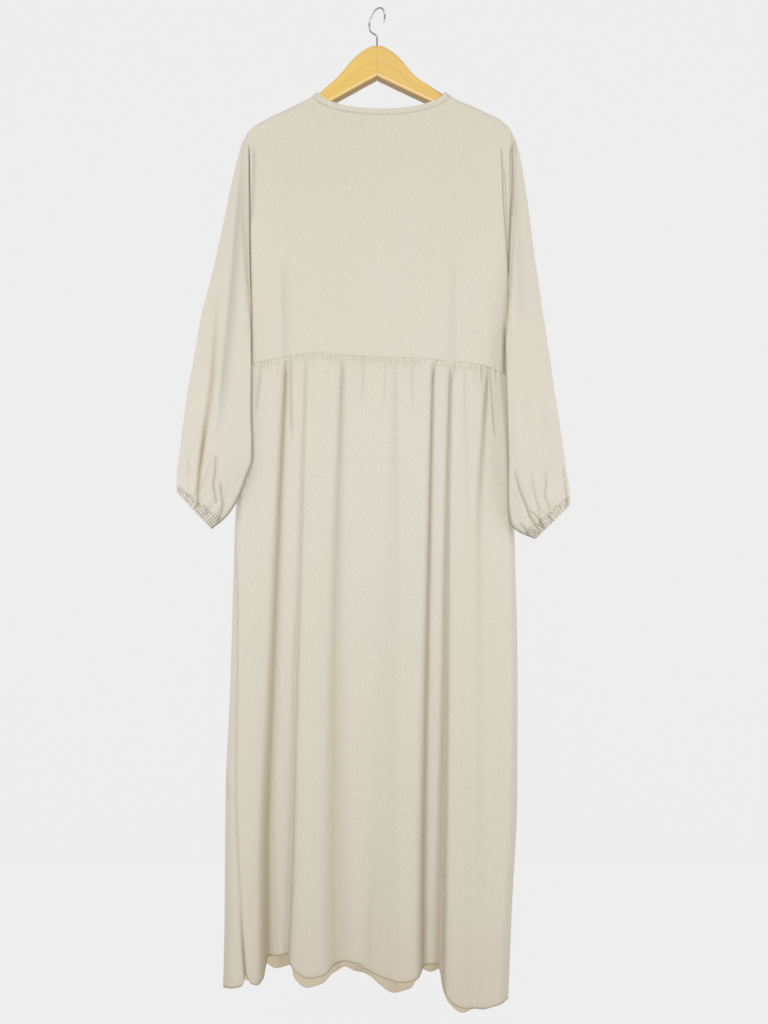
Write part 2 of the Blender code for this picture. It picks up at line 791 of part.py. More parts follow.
def arm_section(row, outward):
    """The wood's outline across an arm: flat faces with rounded corners, softer along the top."""
    height = row.top - row.bottom
    points = []
    for level, turns in (("top", range(CORNER_STEPS + 1)), ("bottom", range(CORNER_STEPS, -1, -1))):
        radius = WOOD_TOP_ROUND if level == "top" else WOOD_BOTTOM_ROUND
        radius = min(radius, height / 2 - 0.1, row.half - 0.2)
        corner = []
        for k in turns:
            turn = math.pi / 2 * k / CORNER_STEPS
            y = row.half - radius + radius * math.sin(turn)
            drop = radius - radius * math.cos(turn)
            corner.append((y, row.top - drop if level == "top" else row.bottom + drop))
        points += corner
    far = points
    near = [(-y, z) for y, z in reversed(points)]
    return [(outward * row.x, y, z) for y, z in near + far]


def hanger_arm(name, rows, outward, look):
    return loft(name, [arm_section(row, outward) for row in rows], look)


def hook_route():
    """The wire's centre line: a straight stem, a bend to one side, and a round hook ending past its top."""
    centre = WIRE_RADIUS - HOOK_RADIUS
    joined = (HOOK_RADIUS * math.cos(HOOK_JOIN), centre + HOOK_RADIUS * math.sin(HOOK_JOIN))
    before = (joined[0] - HOOK_LEAD * math.sin(HOOK_JOIN), joined[1] + HOOK_LEAD * math.cos(HOOK_JOIN))
    corners = ((0.0, HOOK_BEND), (0.0, HOOK_BEND + HOOK_LEAD), before, joined)
    flat = [(0.0, HOOK_BOTTOM), (0.0, lerp(HOOK_BOTTOM, HOOK_BEND, 0.5))]
    for k in range(HOOK_BEND_STEPS):
        t = k / HOOK_BEND_STEPS
        weights = ((1 - t) ** 3, 3 * t * (1 - t) ** 2, 3 * t * t * (1 - t), t**3)
        flat.append(tuple(sum(w * c[axis] for w, c in zip(weights, corners)) for axis in (0, 1)))
    for k in range(HOOK_ROUND_STEPS + 1):
        turn = lerp(HOOK_JOIN, HOOK_END, k / HOOK_ROUND_STEPS)
        flat.append((HOOK_RADIUS * math.cos(turn), centre + HOOK_RADIUS * math.sin(turn)))
    return [(u * math.cos(HOOK_TURN), u * math.sin(HOOK_TURN), z) for u, z in flat]


def hanger_hook(look):
    route = hook_route()
    line = bpy.data.curves.new("hanger_hook", "CURVE")
    line.dimensions = "3D"
    line.bevel_depth = WIRE_RADIUS * METRE
    line.bevel_resolution = 2
    line.use_fill_caps = True
    spline = line.splines.new("POLY")
    spline.points.add(len(route) - 1)
    for point, place in zip(spline.points, route):
        point.co = (*[value * METRE for value in place], 1.0)
    spline.points[-1].radius = HOOK_TIP
    line.materials.append(look)
    hook = bpy.data.objects.new("hanger_hook", line)
    bpy.context.collection.objects.link(hook)
    return hook


def main():
    clear_scene()
    crepe = material("crepe", (0.68, 0.63, 0.53), 0.85)
    wood = material("varnished_wood", (0.82, 0.60, 0.25), 0.35)
    chrome = material("bright_wire", (0.75, 0.75, 0.76), 0.2, 1.0)
    bodice("bodice_back", -1, NECK_DROP_NEAR, crepe)
    bodice("bodice_front", 1, NECK_DROP_FAR, crepe)
    skirt("skirt_back", -1, FOLDS_NEAR, (-1, -0.45, 0, 0.45, 1), 3, 12, crepe)
    skirt("skirt_front", 1, FOLDS_FAR, (-0.8, 0, 0.8), 2, 10, crepe)
    sleeve("sleeve_left", SLEEVE_LEFT, CREASES_LEFT, -1, "left", UNDERARM_LEFT, crepe)
    sleeve("sleeve_right", SLEEVE_RIGHT, CREASES_RIGHT, 1, "right", UNDERARM_RIGHT, crepe)
    neck_binding(crepe)
    hanger_arm("hanger_left", ARM_LEFT, -1, wood)
    hanger_arm("hanger_right", ARM_RIGHT, 1, wood)
    hanger_hook(chrome)


main()
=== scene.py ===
"""Looks of a long crepe abaya that hangs on a varnished wooden hanger.

The solids of the frame give every piece its place. The cloth is built again here as thin walls, with the
gathers, folds, seams and stitches that the solids are too coarse for. Tables are real sizes in millimetres,
in the frame's own axes: +X to the right, -Y towards the viewer, +Z up. The near side is the garment's back.
"""

import math
from collections import namedtuple

import bpy
import numpy as np
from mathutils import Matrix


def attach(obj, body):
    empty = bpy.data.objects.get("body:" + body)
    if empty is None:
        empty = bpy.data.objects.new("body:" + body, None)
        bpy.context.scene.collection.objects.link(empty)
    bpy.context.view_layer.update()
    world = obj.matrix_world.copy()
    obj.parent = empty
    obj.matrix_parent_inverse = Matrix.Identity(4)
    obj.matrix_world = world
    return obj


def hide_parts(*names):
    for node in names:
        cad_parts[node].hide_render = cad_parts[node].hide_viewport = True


bl_info = {
    "name": "Abaya on a wooden hanger",
    "version": (1, 0, 0),
    "blender": (4, 5, 0),
    "location": "3D View > Sidebar > Abaya",
    "description": "Dresses the solids of an abaya and its hanger in crepe, wood, wire and thread",
    "category": "Object",
}

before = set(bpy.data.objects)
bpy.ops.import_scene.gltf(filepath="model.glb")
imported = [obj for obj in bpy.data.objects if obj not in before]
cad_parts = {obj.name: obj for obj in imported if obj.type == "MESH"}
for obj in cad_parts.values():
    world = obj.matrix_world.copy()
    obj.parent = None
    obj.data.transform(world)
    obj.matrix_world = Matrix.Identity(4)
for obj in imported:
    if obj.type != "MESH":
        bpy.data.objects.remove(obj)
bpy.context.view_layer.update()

MM = 0.001

# Wall of the cloth, and the gaps that keep the pieces apart at their seams
WALL = 1.0
RIDGE_GAP = 0.9
SIDE_GAP = 0.15
ARM_GAP = 0.08
NECK_GAP = 0.2
WAIST_GAP = 0.12
SHARP_EDGE = math.radians(60)

# Neck opening, an ellipse hanging from the two neck corners, and its binding
NECK_MIDDLE = 7.5
NECK_HALF = 113.0
NECK_TOP = -143.0
NECK_DROP_NEAR = 35.0
NECK_DROP_FAR = 82.0
BINDING_WIDTH = 9.5
BINDING_WALL = 1.6
BINDING_RISE = 0.52
BINDING_LIFT = 0.5
BINDING_PUFF = 0.7
BINDING_CORNER = 0.04
BINDING_TONE = 0.1

# Levels of the upper panels and the skirt
SHOULDER_LEVEL = -200.0
WAIST_LEVEL = -580.0
SKIRT_LENGTH = 1010.0
RIDGE_ROUND = 12.0
ARM_CLOSING = 85.0
UNDERARM_LEFT = -465.3
UNDERARM_RIGHT = -495.0

# Waves and swells that keep what repeats from looking even
Wave = namedtuple("Wave", "height rate turn")
Swell = namedtuple("Swell", "height width length seed")
SKIRT_SWELLS = (Swell(0.9, 46, 330, 3), Swell(0.35, 17, 120, 5))
BODICE_SWELLS = (Swell(0.7, 60, 110, 7), Swell(0.25, 24, 60, 9))
SLEEVE_SWELLS = (Swell(0.9, 38, 160, 11), Swell(0.3, 15, 60, 13))
SKIRT_SWELL_START = 200.0
BODICE_SWELL_START = 60.0

# Gathers under the waist seam: their heights at some depths, the lip of cloth above them and the seam's tuck
WAIST_GATHERS = 35
GATHER_DEPTHS = (0, 5, 14, 28, 58)
GATHER_HEIGHTS = (0.4, 0.8, 0.7, 0.3, 0.0)
GATHER_SHIFT = (Wave(0.34, 1 / 27.0, 1), Wave(0.16, 1 / 9.7, -1), Wave(0.2, 1 / 5.3, 0))
GATHER_STRENGTH = (Wave(0.5, 1 / 17.3, 2), Wave(0.3, 1 / 6.1, 0))
SEAM_TUCK = 0.55
SEAM_REACH = 1.5
LIP_HEIGHT = 1.4
LIP_PLACE = 4.5
LIP_REACH = 3.0
TICK_DEPTH = 1.2
TICK_HALF = 1.2
TICK_START = 2.0
TICK_FADE = 0.7
# Painted shade in the smallest gathers and along the waist seam
TICK_TONE = 0.15
WAIST_TONE = 0.2
WAIST_TONE_REACH = 1.3
WAIST_WARM = 0.5

# Shade of the side seams, which is darker near the hem, and of the hem's turned edge
SEAM_TONE = 0.16
SEAM_DARKER = 0.75
SEAM_DARKER_FROM = -1440.0
SEAM_DARKER_FADE = 120.0
SEAM_TONE_REACH = 2.2
SEAM_WARM = 0.4
HEM_CORNER = 7.0
HEM_TONE = 0.8
HEM_REACH = 2.3
HEM_WARM = 0.75

# Lengthwise folds start weak at the waist seam and are full a little lower. A fold's shade has a narrow dark
# core and a wide faint part, and a crease's shade is narrower than the crease
FOLD_START = 0.14
FOLD_FULL = 34.0
FOLD_TONE_FULL = 0.9
FOLD_CORE = 0.78
FOLD_WIDER = 2.3
CREASE_SHADE = 0.7

# Sleeves: their folded edges, how deep a crease may sink, and the shade under their inner edge
SLEEVE_ROUND = 4.5
EDGE_SHARE = 0.3
EDGE_SHIFT = 7.0
SLEEVE_START = 3.0
CREASE_LIMIT = 0.86
CREASE_EXTRA = 6.0
UNDER_START = -430.0
UNDER_FADE = 60.0
UNDER_TONE = 0.82
UNDER_REACH = 2.4
UNDER_WARM = 0.55

# Gathers and puffs over the wrist
CUFF_GATHERS = 17
CUFF_GATHER_SHIFT = (Wave(0.35, 9, 1), Wave(0.15, 23, 2))
CUFF_GATHER_HEIGHT = 1.5
CUFF_GATHER_UNEVEN = (Wave(0.4, 31, 1),)
CUFF_GATHER_TONE = 0.34
CUFF_GATHER_WARM = 0.6
CUFF_GATHER_LENGTH = 5.0
CUFF_GATHER_SHORTEST = 0.65
CUFF_LENGTH_UNEVEN = (Wave(0.35, 17, 3),)
CUFF_SCALLOP = 1.2
CUFF_SCALLOP_REACH = 5.0
CUFF_PUFFS = 5
CUFF_PUFF_SHIFT = (Wave(0.35, 5, 2),)
CUFF_PUFF_HEIGHT = 2.2
CUFF_PUFF_RISE = 9.0
CUFF_PUFF_REACH = 11.0

# The wrist's casing: a puffed band under a groove, with a shade line that follows the puffs in arcs
CASING_WIDTH = 13.0
CASING_PUFF = 1.1
CASING_PUFF_REACH = 5.0
CASING_GROOVE = 1.5
CASING_GROOVE_REACH = 1.8
CASING_TONE = 0.36
CASING_TONE_REACH = 1.5
CASING_TONE_LOSS = 0.5
CASING_WARM = 0.5
CASING_DIP = 4.0
CASING_ARC = 7.5

# How finely each piece is divided, and where its rows lie closer together
SHOULDER_STEPS = 64
NECK_STEPS = 110
EDGE_STEPS = 14
PANEL_TOP_ROWS = (0, 0.3, 0.8, 1.5, 2.4, 3.6, 5, 6.6, 8.4, 10.5, 13, 16, 20, 25, 30)
PANEL_ROWS = 66
PANEL_ROWS_END = 0.97
PANEL_END_ROWS = (0.98, 0.988, 0.993, 0.997, 1.0)
SKIRT_COLUMNS = 384
SKIRT_FAR_COLUMNS = 300
SKIRT_COLUMN_WIDTH = 1.25
SKIRT_TOP_ROWS = (0, 0.8, 1.7, 2.8, 4.2, 6, 8, 10.5, 13.5, 17, 21, 26, 32, 39, 48)
SKIRT_ROWS = 86
SKIRT_ROWS_START = 60
SKIRT_ROWS_END = 12
SKIRT_END_ROWS = (8, 5, 2.5, 1, 0)
SLEEVE_COLUMNS = 132
SLEEVE_CROWDING = 0.55
SLEEVE_TOP_ROWS = 8
SLEEVE_ROWS = 96
SLEEVE_END_ROWS = 34
SLEEVE_END_RINGS = 1.6
BINDING_STEPS = 150
BINDING_ROWS = 9

# Hanger: the rounding of its edges, half of the flat that stays between two of them, and where the cloth
# starts to cover it
ARM_STATIONS = 90
ARM_JOINT_STATIONS = (0.12, 0.3, 0.6, 1.2)
ARM_TIP_STATIONS = (4, 2.4, 1, 0.2)
ARM_ROUND_NEAR = 6.2
ARM_ROUND_FAR = 1.6
ARM_ROUND_COVERED = 6.5
ARM_COVERED = 84.0
ARM_COVERED_FADE = 14.0
ARM_JOINT_BEVEL = 0.7
CORNER_STEPS = 6
FLAT_UPRIGHT = 0.3
FLAT_ACROSS = 0.4
ARM_SHARP = math.radians(50)

# Painted shade round the wood's edges: its darkest share at the top, where the painted shade under the arm
# starts and is full, and the half width of the painted highlight beside it, all by shares of the corner's
# turn
EDGE_SHADE_TOP = 0.7
EDGE_SHADE_START = 0.35
EDGE_SHADE_FULL = 0.8
HIGHLIGHT_MIDDLE = 0.2

# Hook: a round loop that a bend joins to the stem, turned out of the wood's plane
HOOK_RADIUS = 20.0
HOOK_CENTRE = 1.6 - HOOK_RADIUS
HOOK_TURN = math.radians(-50.0)
HOOK_BOTTOM = -62.3
HOOK_BEND = -47.0
HOOK_LEAD = 8.0
HOOK_JOIN = math.radians(205.0)
HOOK_END = math.radians(-30.0)
HOOK_SIDES = 20
HOOK_STEM_STEPS = 8
HOOK_BEND_STEPS = 24
HOOK_LOOP_STEPS = 72
HOOK_TIP = (0.97, 0.88, 0.7, 0.35)

# How far the stitches lie off their row of cloth
STITCH_LIFT = 0.55
BINDING_STITCH_LIFT = 0.9
HEM_STITCH_ROW = -5

# Tints: the crepe's random warm patches and its painted shade, warmer and a little darker away from its
# middle and more so near its hem; the wood of both arms; and the wood's painted highlight. The crepe's
# heights are in metres
WARM_PATCHES_AND_SHADE = (0.985, 0.95, 0.865)
HEM_SHADE_TINT = (0.985, 0.9, 0.81)
HEM_SHADE_FROM = -1.475
CREPE_MIDDLE = -0.78
CREPE_MIDDLE_HALF = 0.08
LEFT_WOOD = (1.0, 1.0, 1.0)
RIGHT_WOOD = (0.99, 0.98, 1.12)
PAINTED_HIGHLIGHT = (1.0, 0.9, 0.66)

# Light and camera. Its distance from the hook and a picture pixel's width there are in millimetres
WARM_LIGHT = (1.05, 1.0, 0.92)
COOL_LIGHT = (0.97, 1.0, 1.04)
CAMERA_DISTANCE = 1500.0
CAMERA_X = 0.01155
CAMERA_Z = -0.8283
PIXEL = 1.65
IMAGE_HEIGHT = 1024
SENSOR_HEIGHT = 36.0


def rows_of(kind, values):
    """A table with named columns."""
    return [kind(*value) for value in values]


Ridge = namedtuple("Ridge", "x z")
SHOULDERS = rows_of(Ridge, (
    (-240, -245), (-222, -220), (-212, -203.5), (-198, -191.4), (-181, -181.5), (-160, -171.6),
    (-140, -161.7), (-122, -153), (-105.5, -143.8), (-96.5, -136.7), (-89, -129), (0, -60), (104, -129),
    (111.5, -136.7), (120.5, -143.8), (138, -153), (160, -161.7), (180, -171.6), (201, -181.5), (214.5, -193),
    (222, -202.5), (231, -221), (245, -250),
))

# Half of the body at each height: both edges, the round of its edge, and how far each side swells
Level = namedtuple("Level", "z left right round near far")
BODY = rows_of(Level, (
    (-200, -211.2, 219.5, 13, 12, 12),
    (-330, -211, 218, 13, 13.5, 13.5),
    (-465, -212, 216.5, 13, 16, 16),
    (-600, -218, 212.5, 14, 18, 18),
    (-742, -227, 221, 14, 27, 24),
    (-875, -233.5, 226, 15, 33, 29),
    (-1105, -240, 230.5, 17, 41, 34),
    (-1300, -248, 229.5, 19, 47, 37),
    (-1470, -249, 221, 21, 51, 39),
    (-1670, -253, 213, 23, 55, 40),
))

Seam = namedtuple("Seam", "x z")
WAIST = rows_of(Seam, (
    (-216, -590), (-202, -586), (-153, -577), (-94, -569), (-54, -572.5), (5, -575.5), (64, -577),
    (124, -583), (170, -588.5), (200, -599.5), (214, -606),
))

HEM_NEAR = rows_of(Seam, (
    (-251, -1602), (-246, -1594), (-236, -1587), (-229, -1586), (-214, -1583), (-206, -1571), (-198, -1580),
    (-189, -1582), (-181.5, -1577), (-177.5, -1563), (-173, -1549), (-160, -1547), (-146, -1543.5),
    (-139, -1544), (-129, -1558.8), (-106.5, -1571.3), (-83, -1567), (-71, -1560), (-58, -1554),
    (-41, -1548.5), (-27, -1549), (-15.6, -1559), (-3.6, -1568.5), (13, -1576.5), (37, -1578.7),
    (56, -1575.7), (68, -1572), (75, -1564), (88, -1558.5), (99.5, -1561), (103.5, -1577), (113.6, -1603.5),
    (129.6, -1616.2), (143.9, -1621), (164.7, -1621), (188.6, -1614.6), (205, -1611), (210, -1613),
    (214, -1620),
))

HEM_FAR = rows_of(Seam, (
    (-251, -1602), (-212, -1622), (-196, -1603), (-186, -1590), (-146, -1592), (-137, -1617), (-115, -1634),
    (-90, -1626), (-71, -1603), (-47, -1594.5), (-28.7, -1598.5), (-10.3, -1611), (6.5, -1626), (37, -1640.5),
    (60.5, -1635), (70.5, -1616), (78.5, -1596), (104, -1595), (115, -1634), (127, -1659), (153, -1672.5),
    (171, -1666), (192, -1652), (206, -1634), (214, -1620),
))

# The side seams leave the body's edges as they go down: how far round each edge they have moved
Drift = namedtuple("Drift", "z left right")
SIDE_SEAMS = rows_of(Drift, (
    (-690, 0, 0),
    (-855, 9.8, 0),
    (-973, 21.8, 4),
    (-1138, 27.5, 9),
    (-1270, 33.4, 13),
    (-1402, 40.8, 17),
    (-1517, 48.9, 22),
    (-1600, 58, 25),
    (-1700, 66, 30),
))

# Lengthwise folds of the skirt: their places at five heights from the waist seam to the hem, their depths and
# painted shade (tones) at the top, on the way and at the hem, and how far each fold and its shade reach to
# both sides, at the top and at the hem. warm is the share of the painted shade that is yellow, for light
# thrown between the fold's sides
FOLD_HEIGHTS = (-590, -875, -1135, -1390, -1600)
DEPTH_SHARES = (0, 0.4, 1)
Fold = namedtuple("Fold", "places depths left right tones shade_left shade_right warm")
FOLDS_NEAR = rows_of(Fold, (
    ((-148.5, -160, -169.5, -178.2, -178.5), (7, 10, 12), (3, 7), (3.5, 15),
     (0.52, 0.44, 0.61), (3.2, 7), (2.6, 7.5), 0.92),
    ((-115.5, -122.3, -129.6, -135.5, -144.5), (2.5, 3.5, 5), (3, 9), (1.5, 2.5),
     (0.15, 0.21, 0.36), (2, 3.5), (2.2, 7), 0.15),
    ((-56, -63.5, -67.4, -67.4, -62.8), (5, 9, 19), (3.5, 14), (3.5, 22),
     (0.28, 0.22, 0.18), (3, 11), (3, 12), 0.85),
    ((30.2, 27, 18, 12, 6), (2.5, 4, 12), (7, 26), (3, 24), (0.12, 0.05, 0.06), (2.5, 24), (2.5, 22), 0.2),
    ((91.7, 84.8, 79.3, 75.3, 73.8), (7, 7, 9), (3, 8), (2, 5),
     (0.5, 0.57, 0.66), (1.7, 6.5), (2.6, 5.5), 0.65),
    ((121.1, 114.8, 112.6, 108.8, 105.6), (6.5, 9, 12), (4, 10), (1.5, 2.5),
     (0.36, 0.26, 0.3), (3, 6.5), (2, 6), 0.65),
    ((142.4, 147, 148, 149, 150), (2, 2, 4), (3, 16), (5, 18), (0.14, 0, 0.02), (1.8, 8), (1.8, 8), 0.1),
    ((181.6, 163.8, 160, 158, 156), (6.5, 4, 2), (3, 12), (2.5, 12),
     (0.68, 0.05, 0), (1.6, 5), (1.6, 5), 0.6),
))
FOLDS_FAR = rows_of(Fold, (
    ((-170, -168, -170, -172, -169), (4, 12, 20), (4, 14), (6, 20), (0.45, 0.35, 0.4), (3, 7), (3, 8), 0.4),
    ((-104, -92, -84, -76, -72), (3, 9, 10), (6, 20), (4, 14), (0.3, 0.2, 0.25), (3, 9), (2.5, 7), 0.4),
    ((-48, -44, -40, -38, -37), (5, 12, 18), (4, 14), (5, 22), (0.45, 0.4, 0.4), (3, 6), (3, 8), 0.4),
    ((12, 16, 20, 22, 20), (3, 8, 6), (8, 16), (5, 16), (0.2, 0.15, 0.15), (4, 9), (3, 9), 0.4),
    ((66, 76, 84, 88, 89), (5, 14, 22), (4, 14), (7, 18), (0.45, 0.35, 0.4), (3, 6), (3, 8), 0.4),
    ((128, 130, 134, 136, 140), (3, 9, 8), (6, 16), (8, 16), (0.25, 0.15, 0.2), (3, 9), (3, 9), 0.4),
    ((176, 174, 176, 180, 182), (4, 12, 14), (4, 16), (6, 14), (0.4, 0.3, 0.3), (3, 8), (3, 7), 0.4),
))

# Strips of the near skirt that lie behind their neighbours: the fold that each follows, its depth at three
# heights, and how softly each of its edges steps back
Recess = namedtuple("Recess", "first depth_top depth_middle depth_hem edge_first edge_last")
RECESSES_NEAR = rows_of(Recess, (
    (0, 1, 6, 21, 6.0, 1.8),
    (4, 1, 6, 21, 4.0, 1.8),
))

# Single creases: how deep, how far they reach to the left and right, their painted shade and how warm it is,
# how far their ends fade, and their path. Some with little depth are painted shadow beside the sleeves
Line = namedtuple("Line", "depth left right tone warm fade path")
LINES_SKIRT_NEAR = rows_of(Line, (
    # The first three are painted shadow along the sleeves' inner edges, where they lie against the skirt
    (0.3, 2.0, 1.8, 0.6, 0.55, 14,
     ((-204, -540), (-203.6, -602), (-203, -664), (-200.5, -722), (-200, -750))),
    (0.3, 2.4, 1.8, 0.6, 0.6, 14,
     ((-199.5, -728), (-204.4, -757), (-213.2, -778), (-220.6, -800), (-226, -822))),
    (0.3, 1.6, 2.2, 0.36, 0.55, 14, ((211.5, -560), (212.2, -640), (213, -720), (214.5, -840))),
    (1.8, 1.6, 4, 0.2, 0.2, 30, ((-187, -560), (-190, -591), (-193, -622), (-198, -680))),
    (1.5, 5, 1.6, 0.3, 0.2, 40, ((-139, -550), (-139, -581), (-139, -630), (-137, -720))),
    (1.1, 1.6, 7, 0.12, 0.5, 30, ((-24, -550), (-24, -578), (-23, -613), (-28, -660))),
    (1.0, 2, 4, 0.12, 0.2, 40, ((15, -550), (14, -578), (12, -613), (9, -670))),
    (0.8, 2, 6, 0.08, 0.2, 35, ((57, -545), (57, -579), (57, -622), (57, -680))),
    (1.6, 1.6, 1.6, 0.35, 0.5, 10, ((101, -572), (98, -582), (95, -594), (90, -614))),
    (1.6, 1.5, 1.6, 0.3, 0.5, 10, ((131, -574), (128, -584), (126, -597), (120, -620))),
    (1.6, 1.6, 5, 0.3, 0.2, 20, ((172, -578), (169, -590), (169, -604), (172, -630))),
    (2.0, 1.4, 2.2, 0.42, 0.4, 40, ((183, -575), (185, -612), (187.5, -650), (192, -720))),
    (-1.2, 5, 5, 0, 0.2, 25, ((184, -640), (181, -690), (180, -740), (180, -800))),
    (1.6, 5, 7, 0.05, 0.2, 35, ((-11, -1440), (-11, -1471), (-11, -1495), (-8, -1590))),
    (1.6, 3, 4, 0.2, 0.2, 14, ((-246, -1235), (-244, -1252), (-241, -1268), (-237, -1300))),
    (-2.0, 16, 22, 0, 0.2, 120, ((-205, -640), (-205, -800), (-206, -1100), (-205, -1500))),
    (-1.8, 22, 18, 0, 0.2, 160, ((-98, -650), (-104, -900), (-108, -1200), (-106, -1560))),
    (-1.6, 20, 24, 0, 0.2, 160, ((40, -660), (42, -900), (38, -1200), (40, -1560))),
    (0.1, 20, 12, 0.1, 0.7, 300, ((-240, -1250), (-240, -1500), (-240, -2000))),
    (1.2, 14, 18, 0, 0.2, 140, ((150, -760), (150, -900), (156, -1200), (166, -1540))),
    (-2.2, 16, 20, 0, 0.2, 140, ((196, -780), (196, -1000), (198, -1300), (192, -1600))),
))
LINES_SKIRT_FAR = rows_of(Line, (
    (1.8, 2, 5, 0.3, 0.2, 30, ((-140, -550), (-141, -590), (-143, -640), (-140, -700))),
    (1.6, 5, 2, 0.3, 0.2, 30, ((-74, -550), (-72, -590), (-70, -640), (-66, -690))),
    (2.0, 2, 4, 0.4, 0.2, 25, ((-12, -550), (-10, -590), (-12, -630), (-16, -680))),
    (1.5, 4, 2, 0.3, 0.2, 30, ((44, -550), (42, -590), (40, -640), (42, -700))),
    (2.2, 2, 3, 0.4, 0.2, 25, ((98, -560), (100, -590), (104, -640), (102, -690))),
    (1.6, 4, 2, 0.3, 0.2, 25, ((152, -560), (150, -590), (152, -630), (156, -680))),
    (-2.0, 20, 20, 0, 0.2, 160, ((-130, -680), (-132, -900), (-128, -1200), (-124, -1560))),
    (-1.8, 18, 22, 0, 0.2, 160, ((46, -700), (48, -900), (54, -1200), (56, -1560))),
))

# The smallest gathers, only as long as the stitches pull them: where, and how far down they run
Tick = namedtuple("Tick", "x length")
TICKS_NEAR = rows_of(Tick, (
    (-200, 14), (-183, 16), (-178.5, 23), (-172, 10), (-161, 14), (-155, 12), (-131, 13), (-124, 18),
    (-108, 15), (-102, 17), (-96, 21), (-88, 13), (-80, 17), (-74, 13), (-67, 21), (-61, 14), (-45, 12),
    (-39, 15), (-31, 12), (-8, 16), (-2, 20), (5, 15), (22, 23), (35, 12), (42, 13), (47, 17), (64, 18),
    (70, 22), (79, 12), (103, 16), (108, 20), (114, 18), (135, 13), (153, 15), (160, 17), (194, 16),
    (201, 13),
))

# Creases of the upper panels, and painted shadow in the gaps beside the sleeves' inner edges
LINES_BODICE_NEAR = rows_of(Line, (
    (0.5, 2.2, 2.2, 0.5, 0.4, 42,
     ((-209.4, -225), (-208.8, -285), (-208.2, -345), (-207.4, -420), (-206, -490))),
    (1.5, 1.6, 1.6, 0.5, 0.4, 18, ((208, -262), (209.5, -285), (212.6, -350), (214.4, -402))),
    (1.6, 3, 14, 0.12, 0.4, 70, ((-154, -400), (-153, -450), (-152, -512), (-150, -640))),
    (1.5, 14, 4, 0.07, 0, 60, ((127, -395), (127, -434), (126, -499), (126, -640))),
    (-1.2, 10, 8, 0, 0, 60, ((108, -390), (108, -442), (108, -512), (108, -640))),
    (-1.4, 12, 12, 0, 0, 60, ((180, -370), (180, -420), (180, -499), (180, -640))),
    (4.0, 2.0, 1.8, 0.95, 0.55, 22,
     ((-209.5, -222), (-209, -262), (-208, -320), (-207.5, -400), (-204.8, -510), (-204, -640))),
    (2.0, 2.5, 5, 0.25, 0.3, 25, ((-202, -222), (-201.5, -250), (-203, -300), (-205, -360))),
    (3.0, 1.6, 1.6, 0.62, 0.35, 20,
     ((203.5, -228), (204.3, -246), (206.1, -305), (209.4, -357), (214, -424))),
    (2.5, 2.2, 2.4, 0.9, 0.5, 16, ((218.5, -226), (218.5, -300), (218, -335), (216, -400), (214.8, -450))),
    (1.5, 1.4, 1.7, 0.75, 0.35, 25, ((215, -390), (214.4, -470), (213.5, -540), (212.3, -600), (212, -650))),
    (1.0, 3.4, 3.6, 0.85, 0.5, 60, ((209, -500), (208, -545), (207.6, -580), (208, -660))),
    (-1.2, 4, 3, 0, 0, 30, ((201, -225), (201, -262), (203, -320), (206, -400))),
    (0.8, 40, 40, 0, 0, 90, ((-60, -215), (-66, -300), (-70, -420), (-72, -520))),
    (0.8, 40, 40, 0, 0, 90, ((70, -215), (76, -300), (66, -420), (60, -520))),
))
LINES_BODICE_FAR = rows_of(Line, (
    (1.5, 12, 4, 0.2, 0.2, 60, ((-138, -400), (-139, -450), (-141, -520), (-142, -640))),
    (1.6, 4, 14, 0.2, 0.2, 70, ((148, -390), (147, -440), (145, -510), (146, -640))),
    (2.2, 6, 3, 0.3, 0.2, 25, ((-203, -215), (-203, -240), (-205, -290), (-207, -350))),
    (2.0, 3, 6, 0.3, 0.2, 25, ((204, -215), (205, -240), (206, -285), (206, -345))),
    (-1.2, 30, 30, 0, 0.2, 90, ((10, -260), (8, -320), (12, -420), (10, -530))),
))

# Sleeves, from the armhole to the wrist: the two folded edges of the flattened tube, half its thickness,
# and how much of their depth the creases have there
Ring = namedtuple("Ring", "outer_x outer_z outer_y inner_x inner_z inner_y half folds")
SLEEVE_LEFT = rows_of(Ring, (
    (-222.5, -221, -1, -211.5, -480, -12, 12, 0),
    (-231, -255, -3, -208, -500, -26, 12, 0.02),
    (-243, -311, -6, -204.5, -530, -35, 12, 0.05),
    (-257, -382, -9, -203, -567, -40, 12, 0.09),
    (-272, -449, -12, -202, -607, -42, 12.5, 0.15),
    (-287, -511, -15, -202, -647, -45, 13, 0.21),
    (-297, -574, -18, -201, -685, -48, 14, 0.29),
    (-307, -633, -22, -199, -717, -51, 15, 0.38),
    (-314, -692, -26, -199, -743, -52, 15, 0.48),
    (-319, -736, -29, -209, -773, -50, 14, 0.6),
    (-322.5, -767, -32, -224, -810, -49, 12, 0.6),
    (-322.5, -781, -34, -242, -836, -47, 10, 0.4),
    (-321.5, -795, -36, -265.5, -855, -45, 8.5, 0.15),
))
SLEEVE_RIGHT = rows_of(Ring, (
    (231, -223, -1, 216, -509, -13, 12, 0),
    (237.5, -257, -3, 212, -530, -27, 12, 0.02),
    (246.5, -316, -6, 208.5, -559, -36, 12, 0.05),
    (255, -387, -9, 209, -596, -41, 12, 0.09),
    (264, -454, -12, 209.5, -636, -43, 12.5, 0.15),
    (273, -518, -15, 210, -677, -46, 13, 0.21),
    (282, -582, -18, 210.5, -715, -49, 14, 0.29),
    (290, -646, -22, 210.5, -751, -52, 15, 0.38),
    (298.5, -705, -26, 209.5, -790, -53, 15, 0.48),
    (304.5, -750, -29, 211, -824, -50, 14, 0.6),
    (308.5, -781, -32, 216, -849, -49, 12, 0.6),
    (310, -797, -34, 230, -861, -47, 10, 0.4),
    (311.5, -815, -36, 254.5, -871, -45, 8.5, 0.15),
))

